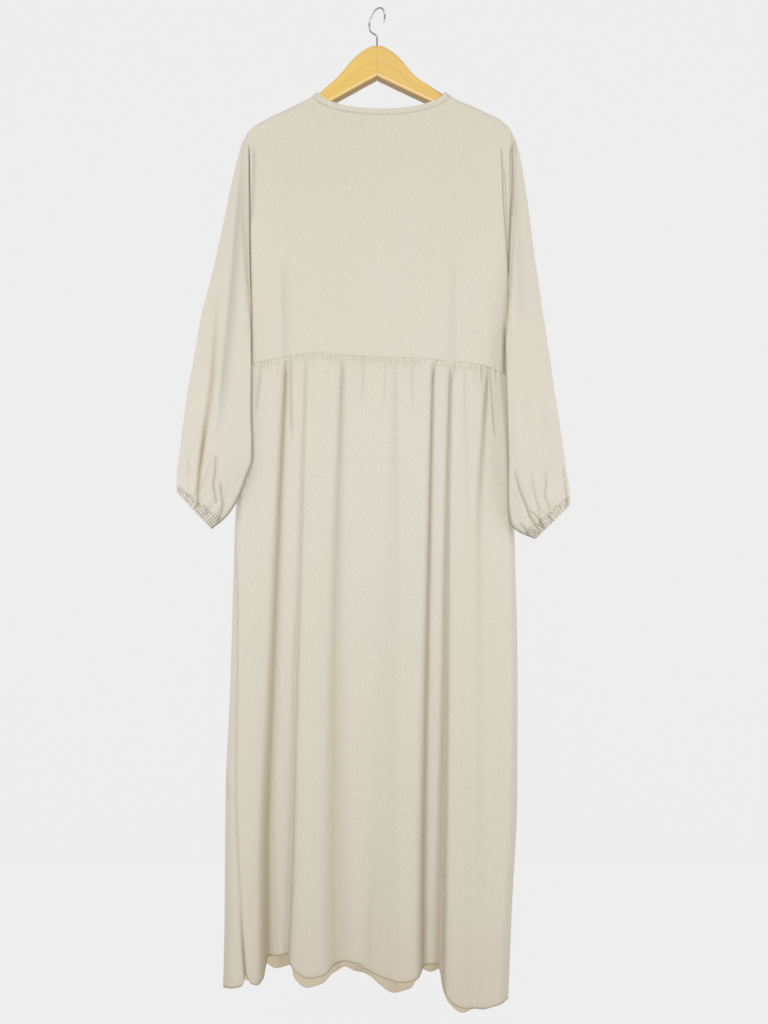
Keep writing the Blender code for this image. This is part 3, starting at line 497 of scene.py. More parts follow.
# Creases of the sleeves, on the near side and on the far side
LINES_LEFT_NEAR = rows_of(Line, (
    (3.0, 4.5, 15, 0.27, 0, 150,
     ((-218, -200), (-229, -361), (-235, -462), (-245, -588), (-253, -690), (-259, -745))),
    (2.6, 2.2, 3.5, 0.4, 0.2, 12, ((-257, -735), (-258, -768), (-260.5, -782), (-259, -800), (-255, -822))),
    (4.0, 6, 8, 0.38, 1.0, 200,
     ((-258, -440), (-266, -618), (-275, -693), (-281, -739), (-284.5, -767), (-286, -795), (-288, -840))),
    (3.0, 4, 5, 0.54, 1.0, 70, ((-272, -660), (-281, -739), (-284.5, -767), (-286, -795), (-288, -860))),
    (2.8, 2.2, 3.5, 0.45, 0.4, 12, ((-250, -778), (-248.5, -795), (-247, -816), (-251, -834), (-256, -850))),
    (1.4, 3, 4, 0.12, 0.2, 12, ((-264, -742), (-267, -754), (-277, -782), (-281, -800))),
    (1.2, 3, 3, 0.14, 0.2, 10, ((-306, -740), (-304, -750), (-302, -768), (-301, -776))),
    (1.4, 3, 5, 0.08, 0.2, 14, ((-236, -775), (-238, -790), (-242, -812), (-250, -842))),
    (-3.0, 16, 14, 0, 0.2, 110, ((-300, -560), (-303, -620), (-305, -680), (-300, -770))),
    (-2.5, 18, 14, 0, 0.2, 120, ((-232, -560), (-236, -620), (-238, -690), (-238, -800))),
))
LINES_LEFT_FAR = rows_of(Line, (
    (5.0, 10, 12, 0.3, 0.4, 110, ((-252, -520), (-258, -620), (-266, -700), (-272, -820))),
    (2.2, 3, 4, 0.3, 0.2, 14, ((-290, -750), (-291, -770), (-295, -800), (-296, -820))),
    (2.0, 3, 4, 0.3, 0.2, 14, ((-244, -760), (-247, -780), (-252, -810), (-256, -830))),
))
LINES_RIGHT_NEAR = rows_of(Line, (
    (2.0, 1.8, 2.4, 0.95, 0.5, 14,
     ((220.8, -218), (221.6, -262), (221, -300), (219, -340), (216.5, -400), (215, -440))),
    (1.0, 1.5, 2.0, 0.36, 0.75, 10, ((223, -214), (227.2, -238), (226.6, -262), (224.5, -300), (221, -350))),
    (2.4, 8, 12, 0.1, 0.2, 90, ((222, -235), (226, -300), (230, -420), (234, -560))),
    (-2.0, 6, 10, 0, 0.2, 80, ((213, -215), (221, -227), (224, -263), (227, -330))),
    (2.6, 2.2, 3.5, 0.5, 0.5, 52,
     ((216, -746), (225, -787), (235.5, -814), (245, -838), (257, -855), (275, -900))),
    (2.4, 1.8, 3, 0.45, 0.5, 9, ((240, -822), (245.7, -828), (252.9, -833.5), (264.8, -850), (275, -872))),
    (2.2, 2.2, 3.5, 0.22, 0.3, 34, ((243, -756), (247, -779), (251, -800), (257, -822), (266, -870))),
    (2.4, 1.8, 3.2, 0.36, 0.5, 26, ((271, -755), (270.4, -779), (268.7, -801), (274.4, -824), (281, -860))),
    (1.8, 1.8, 2.2, 0.36, 0.7, 14, ((298, -748), (300.3, -765), (303, -785), (304, -806), (302, -836))),
    (2.0, 1.8, 2.2, 0.45, 0.5, 7, ((227, -843), (233, -851), (241, -862), (250, -878))),
    (2.5, 14, 16, 0.05, 0.2, 130, ((236, -560), (240, -640), (248, -720), (256, -800))),
    (2.0, 12, 14, 0.04, 0.2, 120, ((268, -600), (272, -660), (276, -730), (276, -815))),
    (-2.5, 14, 14, 0, 0.2, 110, ((288, -560), (292, -640), (296, -720), (294, -800))),
    (-2.5, 12, 12, 0, 0.2, 110, ((222, -600), (224, -680), (226, -760), (230, -840))),
))
LINES_RIGHT_FAR = rows_of(Line, (
    (5.0, 12, 10, 0.3, 0.4, 110, ((246, -520), (250, -620), (256, -720), (262, -830))),
    (2.2, 3, 4, 0.3, 0.2, 14, ((288, -750), (287, -775), (284, -800), (283, -825))),
    (2.0, 3, 4, 0.3, 0.2, 14, ((232, -780), (235, -800), (240, -825), (246, -850))),
))

# Hanger: the arms' top and bottom lines by distance from the joint, and half their thickness
Arm = namedtuple("Arm", "x top bottom half")
ARM_LEFT = rows_of(Arm, (
    (0.15, -62.7, -113.5, 9),
    (8, -63.2, -118, 9),
    (18, -68, -123, 9),
    (31, -77, -130.5, 9),
    (43, -88.5, -137, 9),
    (51, -98.5, -141.5, 9),
    (61, -110, -147, 9),
    (71, -120, -152.5, 9),
    (90, -136.2, -162.5, 9),
    (98, -142.4, -167, 9),
    (105.5, -146.8, -170.5, 9),
    (122, -155.4, -178, 9),
    (140, -163.7, -186.5, 9),
    (160, -173.7, -196.5, 9),
    (181, -183.7, -207, 9),
    (197, -193.3, -214, 9),
    (206, -200.7, -216, 8),
    (211, -205.4, -215, 5.5),
    (213.5, -208, -213, 3),
))
ARM_RIGHT = rows_of(Arm, (
    (0.15, -62.7, -113.5, 9),
    (8, -63.2, -117.5, 9),
    (18, -68, -122, 9),
    (31, -77, -128.5, 9),
    (41, -87, -133, 9),
    (53, -101.5, -139, 9),
    (64, -113.5, -144, 9),
    (81, -125, -152, 9),
    (95, -132.8, -158.5, 9),
    (106, -139.2, -164, 9),
    (120.5, -146.8, -170.5, 9),
    (138, -155.4, -179, 9),
    (160, -163.7, -189, 9),
    (180, -173.7, -198.5, 9),
    (200, -183.3, -207.5, 9),
    (209, -190.7, -211, 8.5),
    (215, -196.9, -212, 7),
    (218.5, -201.4, -209, 4),
))


def colour_of(name, about, value):
    return bpy.props.FloatVectorProperty(
        name=name, description=about, subtype="COLOR", min=0, max=1, default=value
    )


def length_of(name, about, value):
    return bpy.props.FloatProperty(name=name, description=about, unit="LENGTH", precision=5, default=value)


def strength_of(name, about, value):
    return bpy.props.FloatProperty(name=name, description=about, subtype="FACTOR", default=value)


def power_of(name, about, value):
    return bpy.props.FloatProperty(name=name, description=about, unit="POWER", default=value)


class AbayaCloth(bpy.types.PropertyGroup):
    """Sizes and colours of the cloth and its thread."""

    colour: colour_of("Cloth", "Colour of the crepe", (0.763, 0.728, 0.644))
    # Painted light: the wrong side's colour is lightened for its faces, which lie in the garment's shade
    inside: colour_of("Inside", "Colour of the crepe's wrong side", (0.93, 0.86, 0.715))
    # Painted shade: the colour mixed in deep in the folds, and the one mixed in where the cloth turns away
    fold: colour_of("Fold bottoms", "Colour that the crepe takes deep in its folds", (0.32, 0.229, 0.083))
    shade: colour_of("Shade", "Colour of the crepe where it turns away from the light", (0.165, 0.167, 0.152))
    thread: colour_of("Thread", "Colour of the sewing thread", (0.5, 0.44, 0.35))
    wall: length_of("Wall", "Thickness of the cloth", WALL * MM)
    pebble: length_of("Pebble", "Size of the crepe's grain", 0.0013)
    gathers: strength_of("Gathers", "How strongly the waist is gathered", 1.0)
    stitch: length_of("Stitch", "Length of one stitch", 0.0024)
    stitch_pitch: length_of("Stitch pitch", "From one stitch to the next", 0.0034)
    thread_width: length_of("Thread width", "Thickness of the thread", 0.0006)


class AbayaHanger(bpy.types.PropertyGroup):
    """Sizes and colours of the hanger."""

    wood: colour_of("Wood", "Colour of the varnished wood", (0.9, 0.61, 0.15))
    grain: colour_of("Grain", "Colour of the wood's grain", (0.66, 0.40, 0.10))
    # Painted shade: the edge colour is the shade along the wood's top edge and under its arms
    rim: colour_of("Edges", "Colour of the darker varnish along the edges", (0.27, 0.155, 0.052))
    edge: length_of("Edge", "Rounding of the wood's edges beside the neck", 0.0026)
    wire: length_of("Wire", "Thickness of the hook's wire", 0.0031)
    metal: colour_of("Metal", "Colour of the bright wire", (0.62, 0.62, 0.64))


class AbayaStage(bpy.types.PropertyGroup):
    """What stands round the garment."""

    backdrop: colour_of("Backdrop", "Colour of the lit wall and floor", (0.836, 0.836, 0.836))
    wall: length_of("Wall", "How far behind the hook the wall stands", 0.9)
    floor: length_of("Floor", "How far below the hook the floor lies", 1.76)
    sky: strength_of("Fill", "Strength of the even light from all round", 0.45)
    front: power_of("Softbox", "Power of the softbox in front", 9.0)
    sides: power_of("Side lamps", "Power of each of the two softboxes beside it", 12.0)
    top: strength_of("Top lamp", "Strength of the broad light from above", 0.6)


# Curves and tables, read for many values at once


def lerp(a, b, share):
    return a + (b - a) * share


def smooth(xs, ys, x):
    """Heights at x of a smooth curve through the points, which never swings past them."""
    xs = np.asarray(xs, float)
    ys = np.asarray(ys, float)
    if xs[0] > xs[-1]:
        xs = xs[::-1]
        ys = ys[::-1]
    steps = np.diff(ys) / np.diff(xs)
    lean = np.empty_like(ys)
    lean[0] = steps[0]
    lean[-1] = steps[-1]
    before = steps[:-1]
    after = steps[1:]
    same_way = before * after > 0
    total = np.where(same_way, before + after, 1.0)
    lean[1:-1] = np.where(same_way, 2 * before * after / total, 0.0)
    x = np.clip(x, xs[0], xs[-1])
    i = np.clip(np.searchsorted(xs, x, side="right") - 1, 0, len(xs) - 2)
    span = xs[i + 1] - xs[i]
    t = (x - xs[i]) / span
    return (
        ys[i] * (1 + 2 * t) * (1 - t) ** 2
        + ys[i + 1] * t * t * (3 - 2 * t)
        + lean[i] * span * t * (1 - t) ** 2
        - lean[i + 1] * span * t * t * (1 - t)
    )


def read(table, by, column, value):
    """A named column of a table, read smoothly at values of another column."""
    return smooth([getattr(row, by) for row in table], [getattr(row, column) for row in table], value)


def quarter(share):
    """Height of a quarter round, from 0 at its edge to 1 at its top."""
    return np.sqrt(1 - (1 - np.clip(share, 0, 1)) ** 2)


def ease(share):
    share = np.clip(share, 0, 1)
    return share * share * (3 - 2 * share)


def uneven(u, v, size_u, size_v, seed):
    """Gentle swells without a repeat, between -1 and 1, as long as their size in each direction."""
    heights = np.random.default_rng(seed).uniform(-1, 1, (64, 64))
    a = np.asarray(u / size_u + 0.37 * seed)
    b = np.asarray(v / size_v + 0.61 * seed)
    i = np.floor(a).astype(int)
    j = np.floor(b).astype(int)
    s = ease(a - i)
    t = ease(b - j)
    rows = [heights[(i + k) % 64, (j + m) % 64] for k in (0, 1) for m in (0, 1)]
    return lerp(lerp(rows[0], rows[1], t), lerp(rows[2], rows[3], t), s)


def bell(away, reach):
    """A hump that is 1 in its middle and dies away past its reach."""
    return np.exp(-((away / reach) ** 2))


def two_sided(away, left, right):
    """A hump whose two sides have their own reach."""
    return bell(away, np.where(away < 0, left, right))


def waves_at(waves, x, side):
    """Several waves laid over each other, which lie elsewhere on each side of the garment."""
    return sum(wave.height * np.sin(wave.rate * x + wave.turn * side) for wave in waves)


def swells_at(swells, x, z, turn=0):
    """Broad swells of several sizes laid over each other."""
    return sum(swell.height * uneven(x, z, swell.width, swell.length, swell.seed + turn) for swell in swells)


def warmed(shade, warm):
    """A shade as its cool part and its warm part, where warm is the warm one's share."""
    return shade[..., None] * (1 - warm, warm)


# Shape of the body


def ridge(x):
    return read(SHOULDERS, "x", "z", x)


def neck_line(x, drop):
    across = np.clip(np.abs(x - NECK_MIDDLE) / NECK_HALF, 0, 1)
    return NECK_TOP - drop * np.sqrt(1 - across**2)


def waist_line(x):
    return read(WAIST, "x", "z", x)


def hem_line(x, y):
    return np.where(y < 0, read(HEM_NEAR, "x", "z", x), read(HEM_FAR, "x", "z", x))


def swell_of(side, z):
    """How far the plain body stands from the middle plane, on the near side or on the far one."""
    return np.where(side < 0, read(BODY, "z", "near", z), read(BODY, "z", "far", z))


def on_side(side, near, far):
    """Depth and shade, taken from the near pair on the near side and from the far pair on the far one."""
    return np.where(side < 0, near[0], far[0]), np.where(side[..., None] < 0, near[1], far[1])


def lines_at(lines, x, z):
    """How far single creases take the cloth in, and their cool and warm shade."""
    inward = np.zeros_like(x)
    tone = np.zeros((*x.shape, 2))
    for line in lines:
        places = [point[0] for point in line.path]
        levels = [point[1] for point in line.path]
        away = x - smooth(levels, places, z)
        strength = ease((levels[0] - z) / line.fade) * ease((z - levels[-1]) / line.fade)
        inward += line.depth * strength * two_sided(away, line.left, line.right)
        shade = two_sided(away, CREASE_SHADE * line.left, CREASE_SHADE * line.right)
        tone += warmed(line.tone * strength * shade, line.warm)
    return inward, tone


def folds_at(folds, recesses, x, z):
    """How far lengthwise folds and recessed strips take the cloth in, and their cool and warm shade."""
    down = np.clip((FOLD_HEIGHTS[0] - z) / (FOLD_HEIGHTS[0] - FOLD_HEIGHTS[-1]), 0, 1)
    inward = np.zeros_like(x)
    tone = np.zeros((*x.shape, 2))
    places = [smooth(FOLD_HEIGHTS, fold.places, z) for fold in folds]
    for fold, place in zip(folds, places):
        away = x - place
        hollow = two_sided(away, lerp(*fold.left, down), lerp(*fold.right, down))
        inward += smooth(DEPTH_SHARES, fold.depths, down) * hollow
        left = lerp(*fold.shade_left, down)
        right = lerp(*fold.shade_right, down)
        shade = FOLD_CORE * two_sided(away, left, right)
        shade += (1 - FOLD_CORE) * two_sided(away, FOLD_WIDER * left, FOLD_WIDER * right)
        tone += warmed(shade * smooth(DEPTH_SHARES, fold.tones, down), fold.warm)
    for recess in recesses:
        depth = smooth(DEPTH_SHARES, (recess.depth_top, recess.depth_middle, recess.depth_hem), down)
        start = np.tanh((x - places[recess.first]) / recess.edge_first)
        end = np.tanh((x - places[recess.first + 1]) / recess.edge_last)
        inward += depth * (start - end) / 2
    return inward, tone


def gathers_at(x, below, side, strength):
    """The gathers under the waist seam: a wave that swells, then dies away."""
    left = WAIST[0].x
    right = WAIST[-1].x
    shift = waves_at(GATHER_SHIFT, x, side)
    wave = np.cos(2 * np.pi * (WAIST_GATHERS * (x - left) / (right - left) + shift))
    uneven_strength = 1 + waves_at(GATHER_STRENGTH, x, side)
    return strength * smooth(GATHER_DEPTHS, GATHER_HEIGHTS, below) * uneven_strength * wave


def ticks_at(x, below):
    """The smallest gathers: short grooves right under the stitches."""
    inward = np.zeros_like(x)
    for tick in TICKS_NEAR:
        strength = ease(below / TICK_START) * ease((tick.length - below) / (TICK_FADE * tick.length))
        inward += TICK_DEPTH * strength * bell(x - tick.x, TICK_HALF)
    return inward


def skirt_out(side, x, z):
    """How far the skirt stands from the middle plane, and the shade of its folds."""
    below = waist_line(x) - z
    started = np.clip(FOLD_START + (1 - FOLD_START) * below / FOLD_FULL, 0, 1)
    folds, tone = on_side(side, folds_at(FOLDS_NEAR, RECESSES_NEAR, x, z), folds_at(FOLDS_FAR, (), x, z))
    lines, lines_tone = on_side(side, lines_at(LINES_SKIRT_NEAR, x, z), lines_at(LINES_SKIRT_FAR, x, z))
    small = ticks_at(np.where(side < 0, x, -x), below)
    inward = folds * started + lines + small
    outward = gathers_at(x, below, side, bpy.context.scene.abaya_cloth.gathers)
    outward += LIP_HEIGHT * bell(below - LIP_PLACE, LIP_REACH) - SEAM_TUCK * bell(below, SEAM_REACH)
    outward += ease(below / SKIRT_SWELL_START) * swells_at(SKIRT_SWELLS, x, z)
    tone = tone * ease(started[..., None] / FOLD_TONE_FULL) + lines_tone
    # Painted shade in the smallest gathers and along the waist seam
    tone += warmed(TICK_TONE * small + WAIST_TONE * bell(below, WAIST_TONE_REACH), WAIST_WARM)
    return swell_of(side, z) - inward + outward, tone


def bodice_out(side, x, z):
    """How far an upper panel stands from the middle plane, and the shade of its creases."""
    from_ridge = ridge(x) - z
    inward, tone = on_side(side, lines_at(LINES_BODICE_NEAR, x, z), lines_at(LINES_BODICE_FAR, x, z))
    outward = ease(from_ridge / BODICE_SWELL_START) * swells_at(BODICE_SWELLS, x, z)
    outward -= SEAM_TUCK * bell(z - waist_line(x), SEAM_REACH)
    return (swell_of(side, z) - inward + outward) * quarter(from_ridge / RIDGE_ROUND), tone


def armhole_open(z, underarm):
    """1 where the armhole is open, falling to 0 at the underarm."""
    return np.sqrt(np.clip((z - underarm) / ARM_CLOSING, 0, 1))


def section(z):
    """Both edges of the body's section at height z, the round of its edges and its length over one side."""
    left = read(BODY, "z", "left", z)
    right = read(BODY, "z", "right", z)
    edge = read(BODY, "z", "round", z)
    return left, right, edge, right - left - 2 * edge + edge * np.pi


def body_point(z, along, height, out_at):
    """Points of the body's section at height z, and the shade of the cloth there.

    along runs from the left edge over the near side to the right edge, and back over the far side. height
    is each point's own height where its row isn't level.
    """
    left, right, edge, total = section(z)
    cap = edge * np.pi / 2
    along = np.mod(along, 2 * total)
    side = np.where(along <= total, -1.0, 1.0)
    mirrored = np.minimum(along, 2 * total - along)
    at_left = mirrored < cap
    at_right = mirrored > total - cap
    from_left = np.clip(mirrored, 0, cap)
    from_right = np.clip(total - mirrored, 0, cap)
    open_left = armhole_open(height, UNDERARM_LEFT)
    open_right = armhole_open(height, UNDERARM_RIGHT)
    in_left = lerp(edge * (1 - np.cos(from_left / edge)), from_left * edge / cap, open_left)
    in_right = lerp(edge * (1 - np.cos(from_right / edge)), from_right * edge / cap, open_right)
    x = np.where(at_left, left + in_left, np.where(at_right, right - in_right, left + edge + mirrored - cap))
    closed = np.where(at_left, np.sin(from_left / edge), np.where(at_right, np.sin(from_right / edge), 1.0))
    opened = np.where(at_left, open_left, np.where(at_right, open_right, 1.0))
    out, tone = out_at(side, x, height)
    return x, side * out * lerp(closed, 1.0, opened), tone


# Meshes from grids of points


def distances(grid, axis):
    """How far each point of a grid is from the first one of its row or column, along the cloth."""
    steps = np.linalg.norm(np.diff(grid, axis=axis), axis=2)
    start = np.zeros_like(np.take(steps, [0], axis=axis))
    return np.concatenate([start, np.cumsum(steps, axis=axis)], axis=axis)


def numbered(rows, columns, closed):
    """The points' numbers in a grid, with the first column again at the end of a closed one."""
    index = np.arange(rows * columns).reshape(rows, columns)
    return np.hstack([index, index[:, :1]]) if closed else index


def quads_of(index):
    return np.stack([index[:-1, :-1], index[1:, :-1], index[1:, 1:], index[:-1, 1:]], axis=-1).reshape(-1, 4)


def end_faces(rows, around, first_turned):
    """The two faces that close a tube's ends, which look away from each other."""
    faces = [list(range(around)), list(range((rows - 1) * around, rows * around))]
    faces[0 if first_turned else 1].reverse()
    return faces


def new_piece(name, mesh):
    piece = bpy.data.objects.new(name, mesh)
    bpy.context.collection.objects.link(piece)
    return piece


def smooth_piece(name, points, faces, looks):
    """A smooth piece through points in millimetres."""
    mesh = bpy.data.meshes.new(name)
    mesh.from_pydata((points.reshape(-1, 3) * MM).tolist(), [], faces)
    for look in looks:
        mesh.materials.append(look)
    mesh.shade_smooth()
    return new_piece(name, mesh)


def keep_values(mesh, label, values):
    """Keeps one value for each point, for the material to read."""
    mesh.attributes.new(label, "FLOAT", "POINT").data.foreach_set("value", values.reshape(-1))


def closed_grid(grid):
    return np.concatenate([grid, grid[:, :1]], axis=1)


def cloth_piece(name, grid, tone, wall, closed=False):
    """A wall of cloth through a grid of points in millimetres, its rows running down and columns across.

    The cut is laid flat in its UV map, in metres. The painted cool and warm shade of its folds is kept beside
    it.
    """
    rows, columns = grid.shape[:2]
    spread = closed_grid(grid) if closed else grid
    looks = crepe_looks()
    piece = smooth_piece(name, grid, quads_of(numbered(rows, columns, closed)).tolist(), looks)
    across = distances(spread, 1)
    across -= across[:, -1:] / 2
    cut = np.stack([across, -distances(spread, 0)], axis=-1).reshape(-1, 2) * MM
    corners = quads_of(numbered(*spread.shape[:2], False)).reshape(-1)
    piece.data.uv_layers.new(name="cut").data.foreach_set("uv", cut[corners].reshape(-1))
    # Painted shade: cool where the cloth turns away, warm deep in its folds
    keep_values(piece.data, "shade", np.clip(tone[..., 0], 0, 1))
    keep_values(piece.data, "glow", np.clip(tone[..., 1], 0, 1))
    solid = piece.modifiers.new("wall", "SOLIDIFY")
    solid.thickness = wall
    solid.offset = 0.0
    solid.use_quality_normals = True
    solid.material_offset = len(looks) - 1
    bpy.context.view_layer.update()
    thick = bpy.data.meshes.new_from_object(piece.evaluated_get(bpy.context.evaluated_depsgraph_get()))
    piece.modifiers.clear()
    sheet_mesh = piece.data
    piece.data = thick
    bpy.data.meshes.remove(sheet_mesh)
    thick.name = name
    thick.set_sharp_from_angle(angle=SHARP_EDGE)
    return piece


# The upper panels


def bodice_columns():
    """The panel's columns from left to right: which part of it each is in, and its place there."""
    left = BODY[0].left + BODY[0].round
    right = BODY[0].right - BODY[0].round
    across = np.concatenate([
        np.linspace(left, NECK_MIDDLE - NECK_HALF, SHOULDER_STEPS, endpoint=False),
        NECK_MIDDLE - NECK_HALF * np.cos(np.linspace(0, np.pi, NECK_STEPS + 1)),
        np.linspace(NECK_MIDDLE + NECK_HALF, right, SHOULDER_STEPS + 1)[1:],
    ])
    shares = np.linspace(0, 1, EDGE_STEPS, endpoint=False)
    kinds = np.concatenate([np.full(EDGE_STEPS, -1), np.zeros(len(across)), np.full(EDGE_STEPS, 1)])
    places = np.concatenate([shares, (across - left) / (right - left), shares[::-1]])
    return kinds, places


def columns_along(kinds, places, z):
    """Where the columns lie along the section at height z. They follow the body's edges."""
    left, right, edge, total = section(z)
    cap = edge * np.pi / 2
    from_edge = np.maximum(SIDE_GAP, cap * places)
    across = cap + places * (right - left - 2 * edge)
    return np.where(kinds < 0, from_edge, np.where(kinds > 0, total - from_edge, across))


def bodice_grid(side, drop):
    kinds, places = bodice_columns()

    def column_x(level):
        z = np.full(len(places), level)
        return body_point(z, columns_along(kinds, places, z), z, bodice_out)[0]

    x = column_x(SHOULDER_LEVEL)
    top = np.where(np.abs(x - NECK_MIDDLE) < NECK_HALF - 0.01, neck_line(x, drop), ridge(x))
    end = waist_line(column_x(WAIST_LEVEL)) + WAIST_GAP / 2
    shares = np.concatenate([np.linspace(0, PANEL_ROWS_END, PANEL_ROWS)[1:], PANEL_END_ROWS])
    heights = [top - depth for depth in PANEL_TOP_ROWS]
    heights += [lerp(top - PANEL_TOP_ROWS[-1], end, share) for share in shares]
    z = np.stack(heights)
    x, y, tone = body_point(z, columns_along(kinds, places, z), z, bodice_out)
    y = side * np.maximum(np.abs(y), RIDGE_GAP / 2)
    return np.stack([x, y, z], axis=-1), tone


# The skirt


def skirt_levels():
    """How far down the skirt each row lies, closer together under the waist and at the hem."""
    low = np.linspace(SKIRT_ROWS_START, SKIRT_LENGTH - SKIRT_ROWS_END, SKIRT_ROWS)
    return np.concatenate([SKIRT_TOP_ROWS, low, SKIRT_LENGTH - np.array(SKIRT_END_ROWS)]) / SKIRT_LENGTH


def skirt_along(side, share, z):
    """Where the skirt's columns lie along the section: the panel runs from one side seam to the other."""
    total = section(z)[3]
    left = read(SIDE_SEAMS, "z", "left", z)
    right = read(SIDE_SEAMS, "z", "right", z)
    if side < 0:
        return lerp(left + SIDE_GAP, total + right - SIDE_GAP, share)
    return lerp(total + right + SIDE_GAP, 2 * total + left - SIDE_GAP, share)


def skirt_grid(side, columns):
    shares, downs = np.meshgrid(np.linspace(0, 1, columns + 1), skirt_levels())
    level = WAIST_LEVEL - SKIRT_LENGTH * downs
    x, y, _ = body_point(level, skirt_along(side, shares, level), level, skirt_out)
    from_seam = np.minimum(shares, 1 - shares) * columns * SKIRT_COLUMN_WIDTH
    end = hem_line(x, y) + HEM_CORNER * (1 - quarter(from_seam / HEM_CORNER))
    height = lerp(waist_line(x) - WAIST_GAP / 2, end, downs)
    x, y, tone = body_point(height, skirt_along(side, shares, height), height, skirt_out)
    seam = SEAM_TONE + SEAM_DARKER * ease((SEAM_DARKER_FROM - height) / SEAM_DARKER_FADE)
    tone += warmed(seam * bell(from_seam, SEAM_TONE_REACH), SEAM_WARM)
    tone += warmed(HEM_TONE * bell(height - end, HEM_REACH), HEM_WARM)
    return np.stack([x, y, height], axis=-1), tone


# The sleeves


def cuff_at(share, side, above):
    """How far the cloth stands out over the wrist, how far its edge hangs lower, and its shade there."""
    wave = np.cos(2 * np.pi * (CUFF_GATHERS * share + waves_at(CUFF_GATHER_SHIFT, share, side)))
    reach = CUFF_GATHER_LENGTH * (CUFF_GATHER_SHORTEST + waves_at(CUFF_LENGTH_UNEVEN, share, side))
    fading = ease((CASING_WIDTH + reach - above) / reach)
    puffs = np.abs(np.sin(np.pi * (CUFF_PUFFS * share + waves_at(CUFF_PUFF_SHIFT, share, side))))
    out = CUFF_GATHER_HEIGHT * fading * wave * (1 + waves_at(CUFF_GATHER_UNEVEN, share, side))
    out += CUFF_PUFF_HEIGHT * puffs * bell(above - CASING_WIDTH - CUFF_PUFF_RISE, CUFF_PUFF_REACH)
    out += CASING_PUFF * bell(above - CASING_WIDTH / 2, CASING_PUFF_REACH)
    out -= CASING_GROOVE * bell(above - CASING_WIDTH, CASING_GROOVE_REACH)
    lower = CUFF_SCALLOP * wave * ease((CUFF_SCALLOP_REACH - above) / CUFF_SCALLOP_REACH)
    tone = warmed(CUFF_GATHER_TONE * fading * np.clip(-wave, 0, 1) ** 2, CUFF_GATHER_WARM)
    line = bell(above - CASING_WIDTH + CASING_DIP - CASING_ARC * puffs, CASING_TONE_REACH)
    tone += warmed(CASING_TONE * (1 - CASING_TONE_LOSS * puffs) * line, CASING_WARM)
    return out, lower, tone


def sleeve_side(rings, order, share, side, lines):
    """Points of one side of the flattened sleeve, and the shade of its creases."""
    places = np.arange(len(rings))

    def at(column):
        return smooth(places, [getattr(ring, column) for ring in rings], np.maximum(order, 0))

    def middle(ring):
        return (ring.outer_x + ring.inner_x) / 2, (ring.outer_z + ring.inner_z) / 2

    length = np.hypot(at("outer_x") - at("inner_x"), at("outer_z") - at("inner_z"))
    x = lerp(at("outer_x"), at("inner_x"), share)
    z = lerp(at("outer_z"), at("inner_z"), share)
    inward, tone = lines_at(lines, x, z)
    above = (len(rings) - 1 - order) * math.dist(middle(rings[-1]), middle(rings[-2]))
    out, lower, cuff_tone = cuff_at(share, side, above)
    z = z - lower
    started = ease(order / SLEEVE_START)
    out += started * swells_at(SLEEVE_SWELLS, x, z, side)
    under = np.clip(share - 0.5, 0, 0.5) * 2 * ease((UNDER_START - z) / UNDER_FADE)
    shadow = UNDER_TONE * under * bell((1 - share) * length, UNDER_REACH)
    half = at("half")
    limit = CREASE_LIMIT * half + CREASE_EXTRA
    sunk = limit * np.tanh(inward / limit)
    rounded = quarter(np.minimum(share, 1 - share) * length / SLEEVE_ROUND)
    swell = EDGE_SHARE + (1 - EDGE_SHARE) * np.sin(np.pi * share)
    y = lerp(at("outer_y"), at("inner_y") + EDGE_SHIFT * started, share)
    y = y + side * rounded * (half * swell + out - sunk)
    return x, y, z, (tone + cuff_tone) * rounded[..., None] + warmed(shadow, UNDER_WARM)


def armhole_side(outward, edge_column, underarm, share, side):
    """Points of one side of the sleeve's first ring, which follows the armhole of the upper panels."""
    top_x = BODY[0].left if outward < 0 else BODY[0].right
    z = lerp(ridge(np.array(float(top_x))), underarm, share)
    opened = armhole_open(z, underarm)
    edge = read(BODY, "z", edge_column, z)
    out, _ = bodice_out(np.full_like(z, side), edge, z)
    return edge + outward * (ARM_GAP + WALL * (1 - opened)), side * out * opened, z


def sleeve_grid(rings, outward, edge_column, underarm, lines_of_sides):
    last = len(rings) - 1
    orders = np.concatenate([
        np.linspace(-1, 0, SLEEVE_TOP_ROWS, endpoint=False),
        np.linspace(0, last - SLEEVE_END_RINGS, SLEEVE_ROWS, endpoint=False),
        np.linspace(last - SLEEVE_END_RINGS, last, SLEEVE_END_ROWS),
    ])
    turn = np.linspace(0, np.pi, SLEEVE_COLUMNS + 1)
    shares = lerp(turn / np.pi, (1 - np.cos(turn)) / 2, SLEEVE_CROWDING)
    grids = []
    tones = []
    for side, lines in zip((-1, 1), lines_of_sides):
        share, order = np.meshgrid(shares[:-1] if side < 0 else shares[:0:-1], orders)
        x, y, z, tone = sleeve_side(rings, order, share, side, lines)
        first = armhole_side(outward, edge_column, underarm, share, side)
        x, y, z = (lerp(a, b, ease(order + 1)) for a, b in zip(first, (x, y, z)))
        grids.append(np.stack([x, y, z], axis=-1))
        tones.append(np.where(order[..., None] < 0, lines_at(lines, x, z)[1], tone))
    return np.concatenate(grids, axis=1), np.concatenate(tones, axis=1)


# The neck's binding


